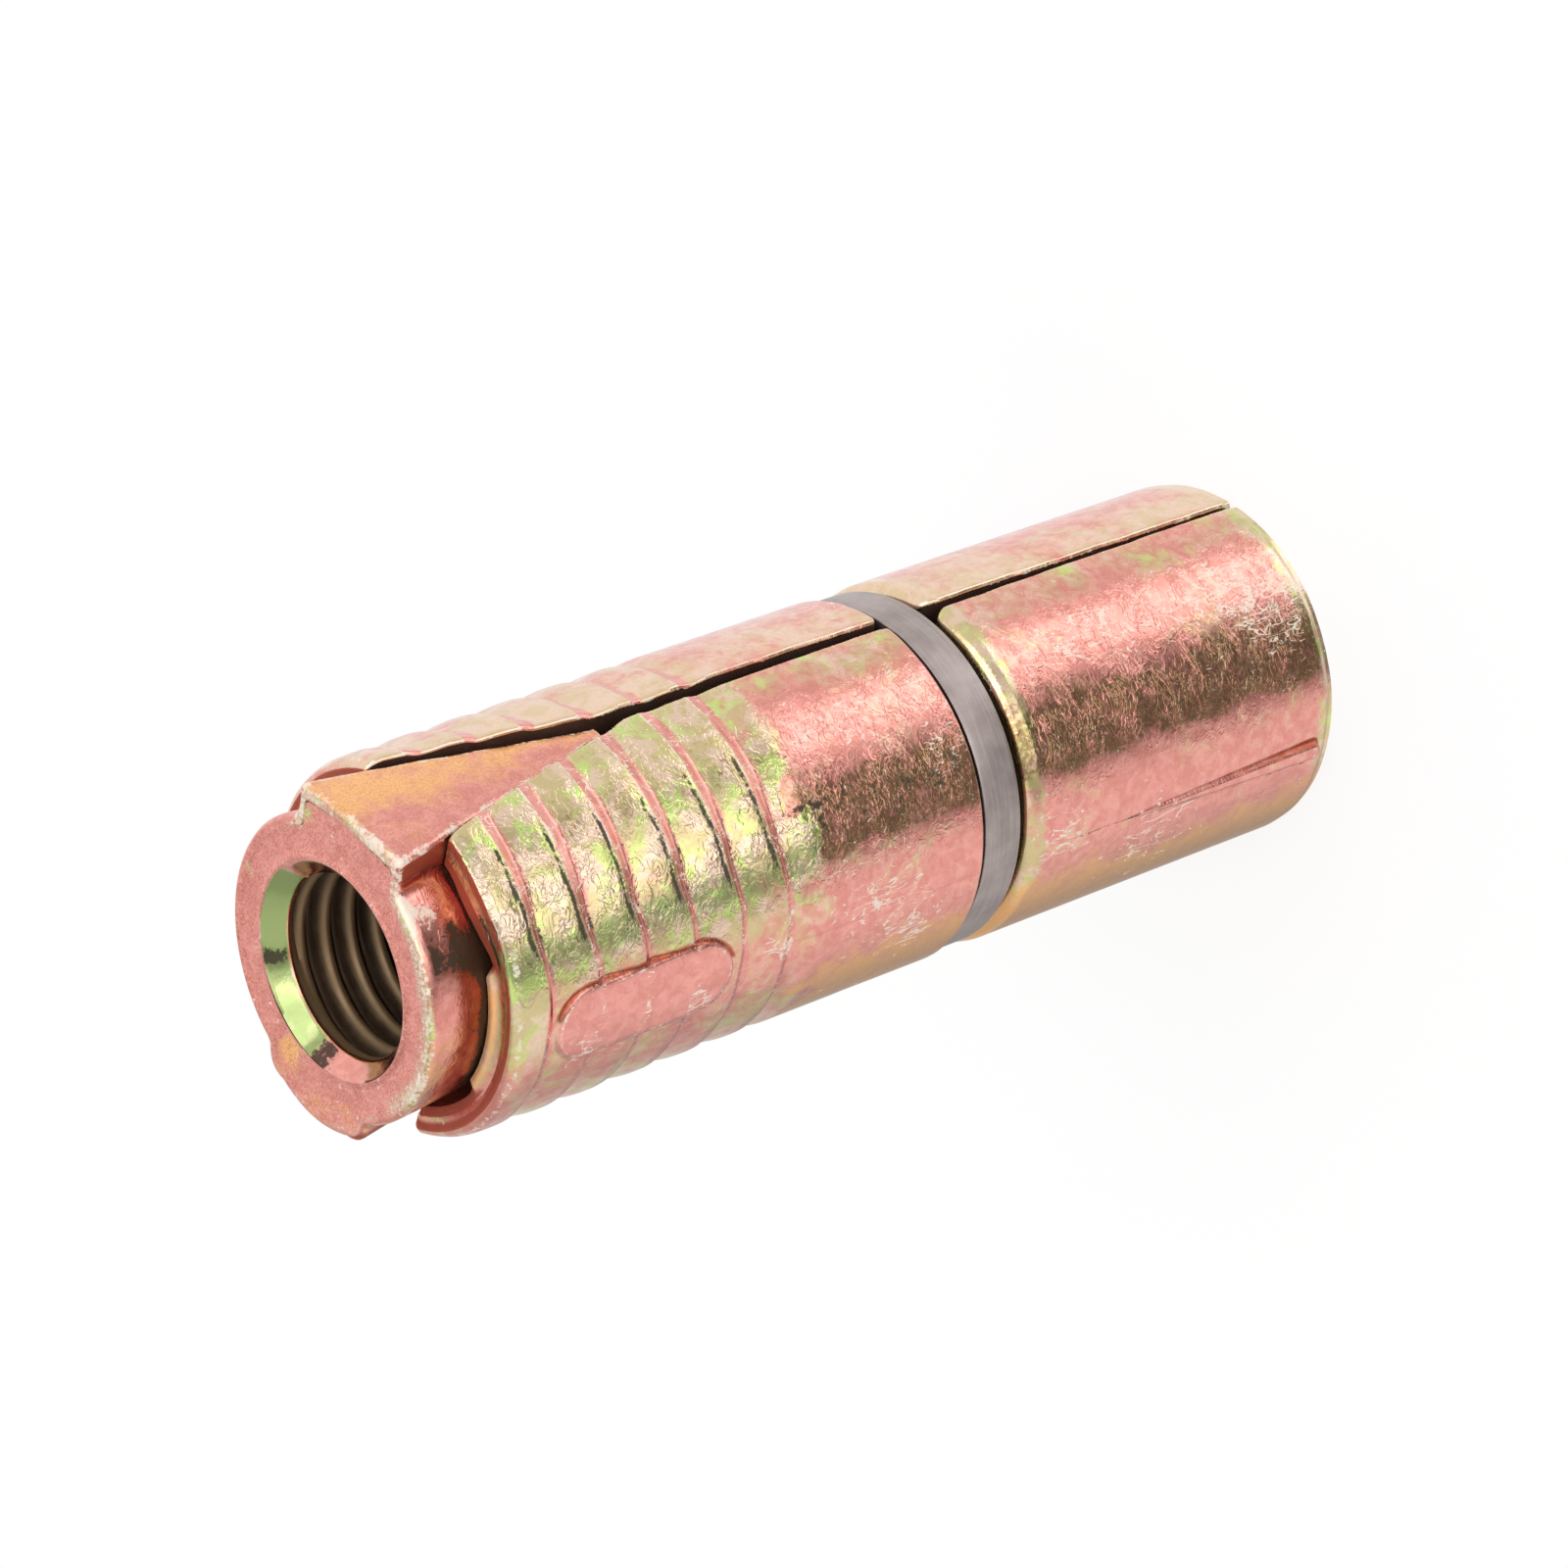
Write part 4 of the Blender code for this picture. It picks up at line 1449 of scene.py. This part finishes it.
@dataclass
class ConeNut:
    """Tapered nut with a key on each side and a threaded hole."""

    # Body and keys; "upper" is the key on the +X side.
    face_radius: float = 9.0
    slope: float = 0.1
    length: float = 18.2
    edge: float = 0.5
    key_length: float = 17.3
    key_width: float = 4.5
    key_tip: float = 0.5
    key_reach: float = 9.57
    key_tip_reach: float = 10.2
    upper_ridge: float = 0.25
    lower_ridge: float = 0.7
    upper_corner: float = 0.4
    lower_corner: float = 1.5
    upper_rise: float = 0.3
    lower_rise: float = -0.05
    # How the nut sits in the shell: turned in radians, moved towards +X.
    turned: float = -0.03
    moved: float = 0.15
    # Thread and countersunk mouth.
    pitch: float = 1.75
    first_turn: float = 0.535
    major: float = 6.35
    minor: float = 5.35
    mouth: float = 6.42
    mouth_depth: float = 1.15
    # Rows over the front face, through the bore, and of those in the mouth.
    face_rows: int = 18
    bore_rows: int = 118
    mouth_rows: int = 9

    def quarter(
        self, depth: Array, inset: Array, share: Array, bend: float, ridge: float, rise: float
    ) -> Array:
        """A quarter of the nut's outline, one row for each depth.

        It runs over half the key's slightly roofed face, round its corner,
        down its flank, through a fillet and along the body's circle.

        Args:
            depth: Depth of each row.
            inset: How far each row lies inside the full outline.
            share: One where the keys stand full, zero where they are gone.
            bend: Radius of the key's corner at the front.
            ridge: How far the middle of the key's face stands up.
            rise: How much further the key reaches at the front.

        Returns:
            Points x, y of each row.
        """
        taper = np.clip(depth / self.key_length, 0.0, 1.0)
        w = np.maximum(self.key_width + (self.key_tip - self.key_width) * taper - inset, 0.2)[:, None]
        body = (self.face_radius - self.slope * depth - inset)[:, None]
        front = self.key_reach + rise
        reach = (front + (self.key_tip_reach - front) * taper - inset)[:, None]
        start = np.sqrt(body**2 - w**2)
        reach = start + (reach - start) * share[:, None] + 0.02
        ridge = ridge * share[:, None] * w / self.key_width
        corner = np.minimum(np.minimum(bend, 0.85 * (reach - start)), 0.6 * w)
        across = np.linspace(0.0, 1.0, 9)[None, :]
        face_y = (w - corner) * across
        face_x = reach + ridge * (1.0 - across * across)
        turn = quarter_turn(7)[None]
        round_x = reach - corner + corner * np.cos(turn)
        round_y = w - corner + corner * np.sin(turn)
        fillet = np.minimum(0.5, 0.3 * (reach - start))
        flank = np.linspace(0.0, 1.0, 9)[None, 1:]
        flank_x = (reach - corner) + (start + fillet - reach + corner) * flank
        flank_y = np.broadcast_to(w, flank_x.shape)
        after = np.arcsin(np.clip(w / body, -1.0, 1.0)) + fillet / body
        t = np.linspace(0.0, 1.0, 6)[None, 1:, None]
        bend_from = np.stack([start + fillet, w], axis=-1)
        bend_at = np.stack([start, w], axis=-1)
        bend_to = np.stack([body * np.cos(after), body * np.sin(after)], axis=-1)
        curve = (1 - t) ** 2 * bend_from + 2 * t * (1 - t) * bend_at + t**2 * bend_to
        arc = after + (QUARTER - after) * np.linspace(0.0, 1.0, 30)[None, 1:]
        x = np.concatenate([face_x, round_x, flank_x, curve[:, :, 0], body * np.cos(arc)], axis=1)
        y = np.concatenate([face_y, round_y, flank_y, curve[:, :, 1], body * np.sin(arc)], axis=1)
        return np.stack([x, y], axis=-1)

    def outline(self, depth: Array, inset: Array, share: Array) -> Array:
        """Loops round the nut and its keys: four quarters, mirrored from two.

        Args:
            depth: Depth of each loop.
            inset: How far each loop lies inside the full outline.
            share: One where the keys stand full, zero where they are gone.

        Returns:
            Points x, y of each loop.
        """
        upper = self.quarter(depth, inset, share, self.upper_corner, self.upper_ridge, self.upper_rise)
        lower = self.quarter(depth, inset, share, self.lower_corner, self.lower_ridge, self.lower_rise)
        lower = lower * np.array([-1.0, 1.0])
        half = np.concatenate([upper, lower[:, -2::-1]], axis=1)
        return np.concatenate([half, half[:, -2:0:-1] * np.array([1.0, -1.0])], axis=1)

    def thread(self, depth: Array, angle: Array) -> Array:
        """Radius of the threaded bore.

        A right-hand helix of grooves with flat crests and rounded roots,
        which fades in behind the cone of the mouth and ends in the tail's.

        Args:
            depth: Depth of each point.
            angle: Angle of each point round the axis.

        Returns:
            The radius.
        """
        turn = np.mod(depth / self.pitch + angle / (2.0 * math.pi) - self.first_turn, 1.0)
        away = np.abs(turn - 0.5) * 2.0
        groove = 1.0 - np.clip((away - 0.1) / 0.75, 0.0, 1.0)
        groove = groove * groove * (3.0 - 2.0 * groove) * 0.3 + groove * 0.7
        begin = self.mouth_depth + 0.25 * (1.0 + np.cos(angle - math.pi))
        groove = groove * ease(0.0, 0.5, depth - begin)
        radius = self.minor + (self.major - self.minor) * groove
        front = self.mouth - (self.mouth - self.minor) * depth / self.mouth_depth
        back = self.minor + 0.5 - (self.length - depth)
        return np.maximum(np.maximum(radius, front), back)

    def outside_loops(self) -> tuple[Array, Array]:
        """Loops over the front face, its rounded edge, the side and the tail.

        The face is ruled from the mouth's circle to the brink, the outline
        with the edge's inset; behind the keys the body runs on alone.

        Returns:
            Points x, y of each loop, and its depth.
        """
        turn = quarter_turn(6)
        side = np.linspace(self.edge, self.key_length - 0.15, 70)[1:]
        tail = np.linspace(self.key_length + 0.12, self.length - 0.4, 5)
        # Depth, inset and the keys' share of each run.
        runs = [
            (self.edge * (1.0 - np.cos(turn)), self.edge * (1.0 - np.sin(turn)), 1.0),
            (side, 0.0, 1.0),
            (self.key_length + np.array([-0.06, -0.01, 0.0, 0.02]), 0.0, (0.93, 0.75, 0.4, 0.0)),
            (tail, 0.0, 0.0),
            (self.length + np.array([-0.26, -0.12, 0.0]), (0.12, 0.25, 0.4), 0.0),
        ]
        depth, inset, keys = chained(runs)
        brink = self.outline(np.array([0.0]), np.array([self.edge]), np.array([1.0]))
        mouth = polar(self.mouth, np.arctan2(brink[..., 1], brink[..., 0]))
        across = np.linspace(0.0, 1.0, self.face_rows + 1)[:-1, None, None]
        face = mouth * (1.0 - across) + brink * across
        loops = np.concatenate([face, brink, self.outline(depth, inset, keys)])
        return loops, np.concatenate([np.zeros(self.face_rows + 1), depth])

    def bore_loops(self, front: Array, back: Array) -> tuple[Array, Array, Array]:
        """Loops through the threaded hole, from the tail to the mouth.

        Each point's angle goes evenly from that of the tail's outline to that
        of the front's, so that both ends meet their neighbours.

        Args:
            front: Points x, y of the front face's outline.
            back: Points x, y of the tail's outline.

        Returns:
            Points x, y of each loop, its depth, and each point's radius.
        """
        depth = np.concatenate([[self.length], np.linspace(self.length - 0.12, 0.1, self.bore_rows)])
        blend = np.linspace(1.0, 0.0, len(depth))[:, None]
        ahead, astern = (np.unwrap(np.arctan2(loop[:, 1], loop[:, 0])) for loop in (front, back))
        angle = astern * blend + ahead * (1.0 - blend)
        radius = self.thread(np.broadcast_to(depth[:, None], angle.shape), angle)
        return polar(radius, angle), depth, radius

    def build(self, finish: ZincFinish, thread_finish: ThreadFinish) -> bpy.types.Object:
        """Make the nut as one closed surface, in through the hole and out again.

        The casting's unevenness is added to the outside, and the front face
        sinks a little from its rim inward.

        Args:
            finish: What the outside is dressed in.
            thread_finish: What the thread is dressed in.

        Returns:
            The piece.
        """
        outer, out_depth = self.outside_loops()
        brink = outer[self.face_rows]
        bore, bore_depth, bore_radius = self.bore_loops(brink, outer[-1])
        flat = np.concatenate([outer, bore])
        d = np.concatenate([out_depth, bore_depth])[:, None]
        rows, columns = flat.shape[:2]
        outside = np.zeros((rows, columns))
        outside[: len(outer)] = 1.0
        down = np.broadcast_to(d, (rows, columns))
        grid = raised(flat, LENGTH - down)
        reach = np.hypot(grid[..., 0], grid[..., 1])
        spots = grid.copy()
        dent = 0.022 * ripple(spots, 3.0, 91) + 0.016 * ripple(spots, 1.2, 92)
        skin = outside * (d > self.edge * 0.6)
        grid[..., :2] *= (1.0 + skin * (dent - 0.03) / reach)[..., None]
        to_rim = np.zeros((rows, columns))
        inward = 1.0 - np.linspace(0.0, 1.0, self.face_rows + 1)
        to_rim[: self.face_rows + 1] = inward[:, None] * (np.hypot(brink[:, 0], brink[:, 1]) - self.mouth)
        level = outside * (d < 0.01) * ease(6.45, 6.8, reach)
        grid[..., 2] -= level * (0.05 + 0.07 * ease(0.15, 0.55, to_rim) + 0.022 * ripple(spots, 2.4, 93))
        marks = self.finish_marks(self.nut_points(grid, down, outside, to_rim), outside, bore_radius)
        x, y, z = grid[..., 0], grid[..., 1], grid[..., 2]
        sine, cosine = math.sin(self.turned), math.cos(self.turned)
        grid = np.stack([x * cosine - y * sine + self.moved * outside, x * sine + y * cosine, z], axis=-1)
        item = make_piece("cone_nut_body", grid.reshape(-1, 3), loop_quads(rows, columns, True), [], marks)
        item.data.materials.append(finish.material())
        item.data.materials.append(thread_finish.material())
        threaded = np.zeros((rows, columns), dtype=np.int32)
        threaded[len(outer) + 1 : rows - self.mouth_rows] = 1
        item.data.polygons.foreach_set("material_index", threaded.ravel())
        item.data.update()
        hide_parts("cone_nut")
        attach(item, "nut")
        LOG.info("%s: %d faces", item.name, len(item.data.polygons))
        return item

    def nut_points(self, grid: Array, d: Array, outside: Array, to_rim: Array) -> NutPoints:
        """Work out what the nut's finish reads at each point.

        Args:
            grid: The nut's points.
            d: Depth of each point.
            outside: One on the outside, zero in the bore.
            to_rim: Distance inside the front face's rim.

        Returns:
            The distances and shares.
        """
        x, y = grid[..., 0], grid[..., 1]
        reach = np.hypot(x, y)
        turn = np.degrees(np.arctan2(y, x))
        swing = np.radians(turn) + QUARTER + 0.05 * ripple(grid, 1.6, 95)
        taper = np.clip(d / self.key_length, 0.0, 1.0)
        rise = np.where(x > 0.0, self.upper_rise, 0.0) * (1.0 - taper)
        under = self.key_reach + rise + (self.key_tip_reach - self.key_reach) * taper - np.abs(x)
        key = outside * ease(0.25, 0.7, reach - (self.face_radius - self.slope * d)) * (d > 0.05)
        top = key * ease(0.42, 0.3, under)
        face = outside * (d < 0.05)
        brink = outside * ease(0.55, 0.1, d) * (1.0 - face) + face * ease(0.5, 0.1, to_rim)
        right = hill(-140.0, -110.0, 15.0, 45.0, turn)
        edge = self.key_width - (self.key_width - self.key_tip) * d / self.key_length
        return NutPoints(
            depth=d,
            x=x,
            y=y,
            reach=reach,
            turn=turn,
            swing=swing,
            lip_shadow_depth=d + 0.15 * ripple(grid, 2.0, 96) - 0.35 * ease(0.6, 0.8, swing),
            rusting=d + 0.25 * ripple(grid, 2.0, 94),
            to_rim=to_rim,
            key=key,
            top=top,
            flank=key * (1.0 - top),
            face=face,
            side=outside * (1.0 - key) * (d > 0.05),
            mouth=(1.0 - outside) * ease(self.mouth_depth + 0.1, self.mouth_depth - 0.1, d),
            brink=brink,
            right=right,
            burr=brink * ease(4.8, 4.2, np.abs(y)) * (x > 0.0) + brink * right,
            ridge=ease(-0.55, -0.35, np.abs(y) - edge) * top * (x > 0.0),
        )

    def finish_marks(self, at: NutPoints, outside: Array, bore: Array) -> Marks:
        """Where the nut is tinted, rough, worn, scuffed or dark, and where shade and a highlight are
        painted.

        Args:
            at: What the finish reads.
            outside: One on the outside, zero in the bore.
            bore: Radius of each bore point.

        Returns:
            The marks by name.
        """
        d, face, key, side, turn = at.depth, at.face, at.key, at.side, at.turn
        crest = np.zeros_like(d)
        crest[-len(bore) :] = ease(self.minor + 0.6, self.minor, bore)
        crest *= ease(self.mouth_depth, self.mouth_depth + 0.5, d)
        # Painted shade: a dark reflection band down the side.
        shade = side * hill(0.4, 0.54, 0.66, 0.84, at.swing) * ease(0.2, 0.8, d)
        low_rim = face * ease(1.5, 0.3, at.to_rim) * hill(-150.0, -120.0, -60.0, -30.0, turn)
        dust = 0.6 * low_rim
        dust += 0.42 * face * ease(0.9, 0.3, at.to_rim) * hill(-80.0, -40.0, 30.0, 60.0, turn)
        dust += 0.4 * face * ease(0.5, 0.1, at.to_rim) * ease(130.0, 150.0, np.abs(turn)) + 0.35 * at.ridge
        marks = self.tints(at, shade)
        marks["soot_and_shade"] = self.dirt_and_shade(at, shade)
        marks["painted_dark_band"] = 0.3 * shade
        marks["dust"] = dust
        marks["wear_and_highlight"] = np.where(outside + at.mouth > 0.5, self.wear_and_highlight(at), crest)
        marks["grain"] = np.clip(0.42 * face + 0.3 * side + 0.22 * key + 0.05 * at.mouth, 0.0, 1.0)
        marks["rough"] = 0.25 * face + 0.14 * key + 0.04 * side
        marks["scuff_and_highlight"] = 0.4 * face + 0.25 * key
        marks["matt"] = 0.55 * at.flank + 0.15 * side * ease(1.7, 2.7, d)
        marks["fleck"] = 1.5 * face + 0.9 * key + 0.3 * side
        return marks

    def tints(self, at: NutPoints, shade: Array) -> Marks:
        """Colour of the plating: pink face, rusty flanks, amber key, green mouth, with painted shade
        reddening the side.

        Args:
            at: What the finish reads.
            angle as the painted dark band and highlight read it

        Returns:
            The "green", "amber", "rust" and "moss" marks.
        """
        x, y, turn, face, side = at.x, at.y, at.turn, at.face, at.side
        lit = hill(45.0, 60.0, 170.0, 176.0, turn)
        # Red deeper down the side, in its dark band and near -Y is painted shade.
        rust_and_shade = 0.9 * at.flank + 0.42 * side * ease(1.7, 2.7, at.rusting) * ease(-160.0, -110.0, turn)
        rust_and_shade += 0.6 * shade + 0.32 * side * ease(0.5, 0.4, at.swing)
        amber = at.top * (0.3 + 0.3 * ease(-1.5, 1.5, y)) * (x > 0.0)
        amber += 0.36 * face * ease(140.0, 160.0, np.abs(turn)) * ease(7.4, 8.2, at.reach)
        amber += 0.45 * side * ease(-60.0, -90.0, turn)
        amber += 0.8 * face * spot(x + 6.8, y - 2.6, 0.9)
        green = -0.35 * face - 0.5 * at.key - 0.35 * side + 0.8 * np.clip(at.burr, 0.0, 1.0) * at.right
        green += 0.8 * face * (spot(x - 2.0, y - 7.9, 0.7) + spot(x - 8.2, y - 3.5, 0.4))
        green += at.mouth * (1.3 * lit - 0.3)
        moss_and_dark_band = at.mouth * ((0.75 + 0.25 * ease(125.0, 100.0, turn)) * lit - 0.2)
        return {"green": green, "amber": amber, "rust_and_shade": rust_and_shade, "moss_and_dark_band": moss_and_dark_band}

    def wear_and_highlight(self, at: NutPoints) -> Array:
        """Bare metal on the brink, the keys' ridges and the mouth, and a painted highlight down the side.

        Args:
            at: What the finish reads.

        Returns:
            The "wear" mark.
        """
        wear_and_highlight = 0.18 * at.brink + 0.32 * np.clip(at.burr, 0.0, 1.0) + 0.5 * at.ridge
        wear_and_highlight += 0.2 * bell(at.y, 0.12) * at.top + 0.3 * at.face * ease(7.0, 6.5, at.reach)
        wear_and_highlight += 0.25 * at.mouth * (at.depth < 0.2)
        # Painted highlight down the side.
        return wear_and_highlight + 0.6 * at.side * hill(0.72, 0.84, 0.95, 1.05, at.swing) * ease(2.4, 1.6, at.depth)

    def dirt_and_shade(self, at: NutPoints, shade: Array) -> Array:
        """Dark places: inside the worn brink and in the mouth, and painted shade down the side and beside
        the shell's lip.

        Args:
            at: What the finish reads.
            shade: One in the painted dark reflection band down the side.

        Returns:
            The "soot" mark.
        """
        d, mouth, side, turn = at.depth, at.mouth, at.side, at.turn
        crack = bell(at.to_rim - 0.42, 0.09) * at.face * np.clip(at.burr * 4.0, 0.0, 1.0)
        soot_and_shade = 0.6 * crack + 0.7 * mouth * bell(turn - 115.0, 7.0)
        soot_and_shade += 0.75 * mouth * bell(np.mod(turn, 360.0) - 178.0, 9.0)
        # Painted shade deep down the side, in its dark band and beside the shell's lip.
        soot_and_shade += 0.25 * side * ease(5.0, 9.0, d)
        soot_and_shade += 0.6 * shade
        soot_and_shade += side * (0.28 * ease(1.7, 2.7, d) + 0.7 * ease(3.25, 4.3, at.lip_shadow_depth) * ease(5.4, 4.6, d))
        return np.clip(soot_and_shade, 0.0, 1.0)


@dataclass
class SpringRing:
    """Flat steel band that holds the halves together, open at one place."""

    outer: float = 10.75
    thickness: float = 0.8
    front: float = 38.8
    width: float = 2.75
    ease_radius: float = 0.14
    butt_gap: float = 1.2
    butt_angle: float = 112.0  # degrees from +X
    rows: int = 220

    def build(self, finish: SteelFinish) -> bpy.types.Object:
        """Make the band: a rectangle with eased corners carried round the axis.

        Args:
            finish: What the band is dressed in.

        Returns:
            The piece.
        """
        turn = np.linspace(0.0, QUARTER, 5)
        sine, cosine = self.ease_radius * np.sin(turn), self.ease_radius * np.cos(turn)
        hi, lo = self.outer - self.ease_radius, self.outer - self.thickness + self.ease_radius
        top, base = self.front + self.ease_radius, self.front + self.width - self.ease_radius
        # Radius and depth of each corner.
        corners = [(hi + sine, top - cosine), (hi + cosine, base + sine)]
        corners += [(lo - sine, base + cosine), (lo - cosine, top - sine)]
        radius, depth = chained(corners)
        rows, columns = self.rows, len(radius)
        half = self.butt_gap / 2 / self.outer
        middle = math.radians(self.butt_angle)
        angle = np.linspace(middle + half, middle + 2.0 * math.pi - half, rows)[:, None]
        grid = raised(polar(radius, angle), LENGTH - depth)
        caps = [list(range(columns)), list(range((rows - 1) * columns, rows * columns))[::-1]]
        item = make_piece("ring_band", grid.reshape(-1, 3), loop_quads(rows, columns), caps, {})
        item.data.materials.append(finish.material())
        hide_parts("retaining_ring")
        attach(item, "ring")
        LOG.info("%s: %d faces", item.name, len(item.data.polygons))
        return item


@dataclass
class Studio:
    """Pale floor, soft surrounding light, one soft lamp and the camera."""

    floor_size: float = 6.0
    floor_glow: float = 0.8
    floor_colour: Colour = (0.94, 0.94, 0.94, 1.0)
    # One lamp, with its spread and tilt in degrees.
    lamp_energy: float = 0.7
    lamp_spread: float = 50.0
    lamp_tilt: Triple = (6.0, 32.0, 0.0)
    # Camera: its place in metres and its three directions.
    lens: float = 135.0
    film_width: float = 36.0
    place: Triple = (0.18151174, -0.20162242, 0.23828449)
    right: Triple = (0.125883, -0.647602, -0.751508)
    up: Triple = (0.837922, 0.474942, -0.268919)
    look: Triple = (-0.531075, 0.595853, -0.602427)
    # Light cards: bearing in degrees and strength, and the heights where they blend.
    brightest: float = 2.0
    low_height: tuple[float, float] = (-0.88, -0.74)
    high_height: tuple[float, float] = (-0.6, -0.52)
    low_cards: Cards = (
        (-180.0, 0.5), (-165.0, 0.66), (-150.0, 0.86), (-130.0, 1.0), (-105.0, 0.98), (-97.0, 0.88),
        (-89.0, 0.58), (-82.0, 0.32), (-70.0, 0.27), (-58.0, 0.25), (-46.0, 0.28), (-37.0, 0.36),
        (-30.0, 0.65), (-24.0, 1.2), (-17.0, 1.9), (-8.0, 2.0), (2.0, 2.0), (9.0, 1.3),
        (16.0, 0.9), (25.0, 0.88), (45.0, 1.0), (60.0, 1.05), (115.0, 1.0), (132.0, 0.85),
        (148.0, 0.4), (165.0, 0.38), (180.0, 0.5),
    )
    high_cards: Cards = (
        (-180.0, 0.6), (-165.0, 0.62), (-150.0, 0.86), (-130.0, 0.98), (-104.0, 1.02), (-95.0, 0.8),
        (-86.0, 0.44), (-78.0, 0.6), (-69.0, 1.15), (-60.0, 1.6), (-51.0, 1.75), (-42.0, 1.6),
        (-34.0, 1.3), (-26.0, 0.85), (-18.0, 0.62), (-10.0, 0.8), (0.0, 0.95), (18.0, 0.95),
        (60.0, 1.05), (105.0, 1.0), (132.0, 0.95), (155.0, 0.7), (180.0, 0.6),
    )
    deep_cards: Cards = (
        (-180.0, 0.62), (-168.0, 0.62), (-146.0, 0.88), (-125.0, 0.8), (-105.0, 0.68), (-87.0, 0.58),
        (-70.0, 0.5), (-50.0, 1.0), (-32.0, 1.2), (-16.0, 1.4), (1.0, 1.1), (33.0, 1.0),
        (132.0, 0.9), (180.0, 0.62),
    )

    def build_floor(self) -> None:
        """Lay a wide pale floor that catches the anchor's soft shadow."""
        size = self.floor_size
        data = bpy.data.meshes.new("floor")
        corners = [(-size, -size, 0.0), (size, -size, 0.0), (size, size, 0.0), (-size, size, 0.0)]
        data.from_pydata(corners, [], [(0, 1, 2, 3)])
        floor = bpy.data.objects.new("floor", data)
        bpy.context.scene.collection.objects.link(floor)
        material = bpy.data.materials.new("pale_floor")
        wires = Wiring(material)
        shader = wires.tree.nodes["Principled BSDF"]
        shader.inputs["Base Color"].default_value = self.floor_colour
        wires.fill(shader, Roughness=1.0, Specular_IOR_Level=0.0)
        path = wires.add("ShaderNodeLightPath")
        seen = path.outputs["Is Camera Ray"]
        for title in ("Is Glossy Ray", "Is Transmission Ray"):
            seen = wires.larger(seen, path.outputs[title])
        blend = wires.add("ShaderNodeMixShader")
        wires.feed(blend.inputs[0], wires.times(seen, self.floor_glow))
        wires.feed(blend.inputs[1], shader.outputs[0])
        wires.feed(blend.inputs[2], wires.add("ShaderNodeEmission").outputs[0])
        wires.feed(wires.tree.nodes["Material Output"].inputs["Surface"], blend.outputs[0])
        data.materials.append(material)
        floor.visible_glossy = False

    def build_world(self) -> None:
        """Surround the anchor with soft light.

        Tall cards stand round a table: each stop is a bearing round Z in
        degrees and a strength. Down at the table's edge the low cards show,
        with a bright softbox beside a dark card; straight down lie the deep
        cards, and level and up stand the high ones.
        """
        world = bpy.data.worlds.new("studio")
        bpy.context.scene.world = world
        wires = Wiring(world)
        parts = wires.add("ShaderNodeSeparateXYZ")
        wires.feed(parts.inputs[0], wires.add("ShaderNodeTexCoord").outputs["Generated"])
        share = wires.add("ShaderNodeMapRange")
        bearing = wires.calculate("ARCTAN2", parts.outputs["Y"], parts.outputs["X"])
        wires.feed(share.inputs["Value"], bearing)
        wires.fill(share, From_Min=-math.pi, From_Max=math.pi)
        shown = self.card_ramp(wires, self.deep_cards, share.outputs[0])
        for cards, (low, high) in ((self.low_cards, self.low_height), (self.high_cards, self.high_height)):
            height = wires.step(parts.outputs["Z"], low, high)
            shown = wires.mix(height, shown, self.card_ramp(wires, cards, share.outputs[0]))
        back = wires.tree.nodes["Background"]
        wires.feed(back.inputs["Color"], shown)
        wires.fill(back, Strength=self.brightest)

    def card_ramp(self, wires: Wiring, cards: Cards, bearing: Socket) -> Socket:
        """Strength of the cards at a bearing.

        Args:
            wires: The world's node tree.
            cards: Bearing in degrees and strength of each stop.
            bearing: Share of a full turn from -180 degrees.

        Returns:
            The strength, as a share of the brightest.
        """
        node = wires.add("ShaderNodeValToRGB")
        node.color_ramp.interpolation = "EASE"
        stops = node.color_ramp.elements
        while len(stops) > 1:
            stops.remove(stops[-1])
        for index, (degrees, strength) in enumerate(cards):
            place = degrees / 360.0 + 0.5
            stop = stops[0] if index == 0 else stops.new(place)
            stop.position = place
            level = strength / self.brightest
            stop.color = (level, level, level, 1.0)
        wires.feed(node.inputs[0], bearing)
        return node.outputs[0]

    def build_lamp(self) -> None:
        """Hang one wide, weak lamp over the anchor on the +X side."""
        data = bpy.data.lights.new("soft_lamp", "SUN")
        data.energy = self.lamp_energy
        data.angle = math.radians(self.lamp_spread)
        lamp = bpy.data.objects.new("soft_lamp", data)
        lamp.rotation_euler = [math.radians(tilt) for tilt in self.lamp_tilt]
        bpy.context.scene.collection.objects.link(lamp)

    def build_camera(self) -> None:
        """Set the camera where the photograph was taken from."""
        data = bpy.data.cameras.new("camera")
        data.lens = self.lens
        data.sensor_width = self.film_width
        data.clip_start = 0.01
        data.clip_end = 50.0
        camera = bpy.data.objects.new("camera", data)
        back = [-part for part in self.look]
        turn = Matrix((self.right, self.up, back)).transposed().to_4x4()
        camera.matrix_world = Matrix.Translation(self.place) @ turn
        bpy.context.scene.collection.objects.link(camera)
        bpy.context.scene.camera = camera

    def build(self) -> None:
        """Make the whole studio."""
        self.build_floor()
        self.build_world()
        self.build_lamp()
        self.build_camera()
        bpy.context.scene.view_settings.view_transform = "Standard"


def main() -> None:
    """Build the anchor's pieces and the studio."""
    logging.basicConfig(level=logging.INFO, format="%(message)s")
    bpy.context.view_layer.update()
    ShellHalf(Side.NEAR).build(ZincFinish("zinc_near"))
    golden = {"lime": linear(238, 208, 180), "straw": linear(226, 200, 162)}
    ShellHalf(Side.FAR).build(ZincFinish("zinc_far", shift=(31.0, 17.0, 5.0), **golden))
    ConeNut().build(ZincFinish("zinc_nut", shift=(7.0, 53.0, 11.0)), ThreadFinish("dark_thread"))
    SpringRing().build(SteelFinish("steel_ring"))
    Studio().build()


if __name__ == "__main__":
    main()
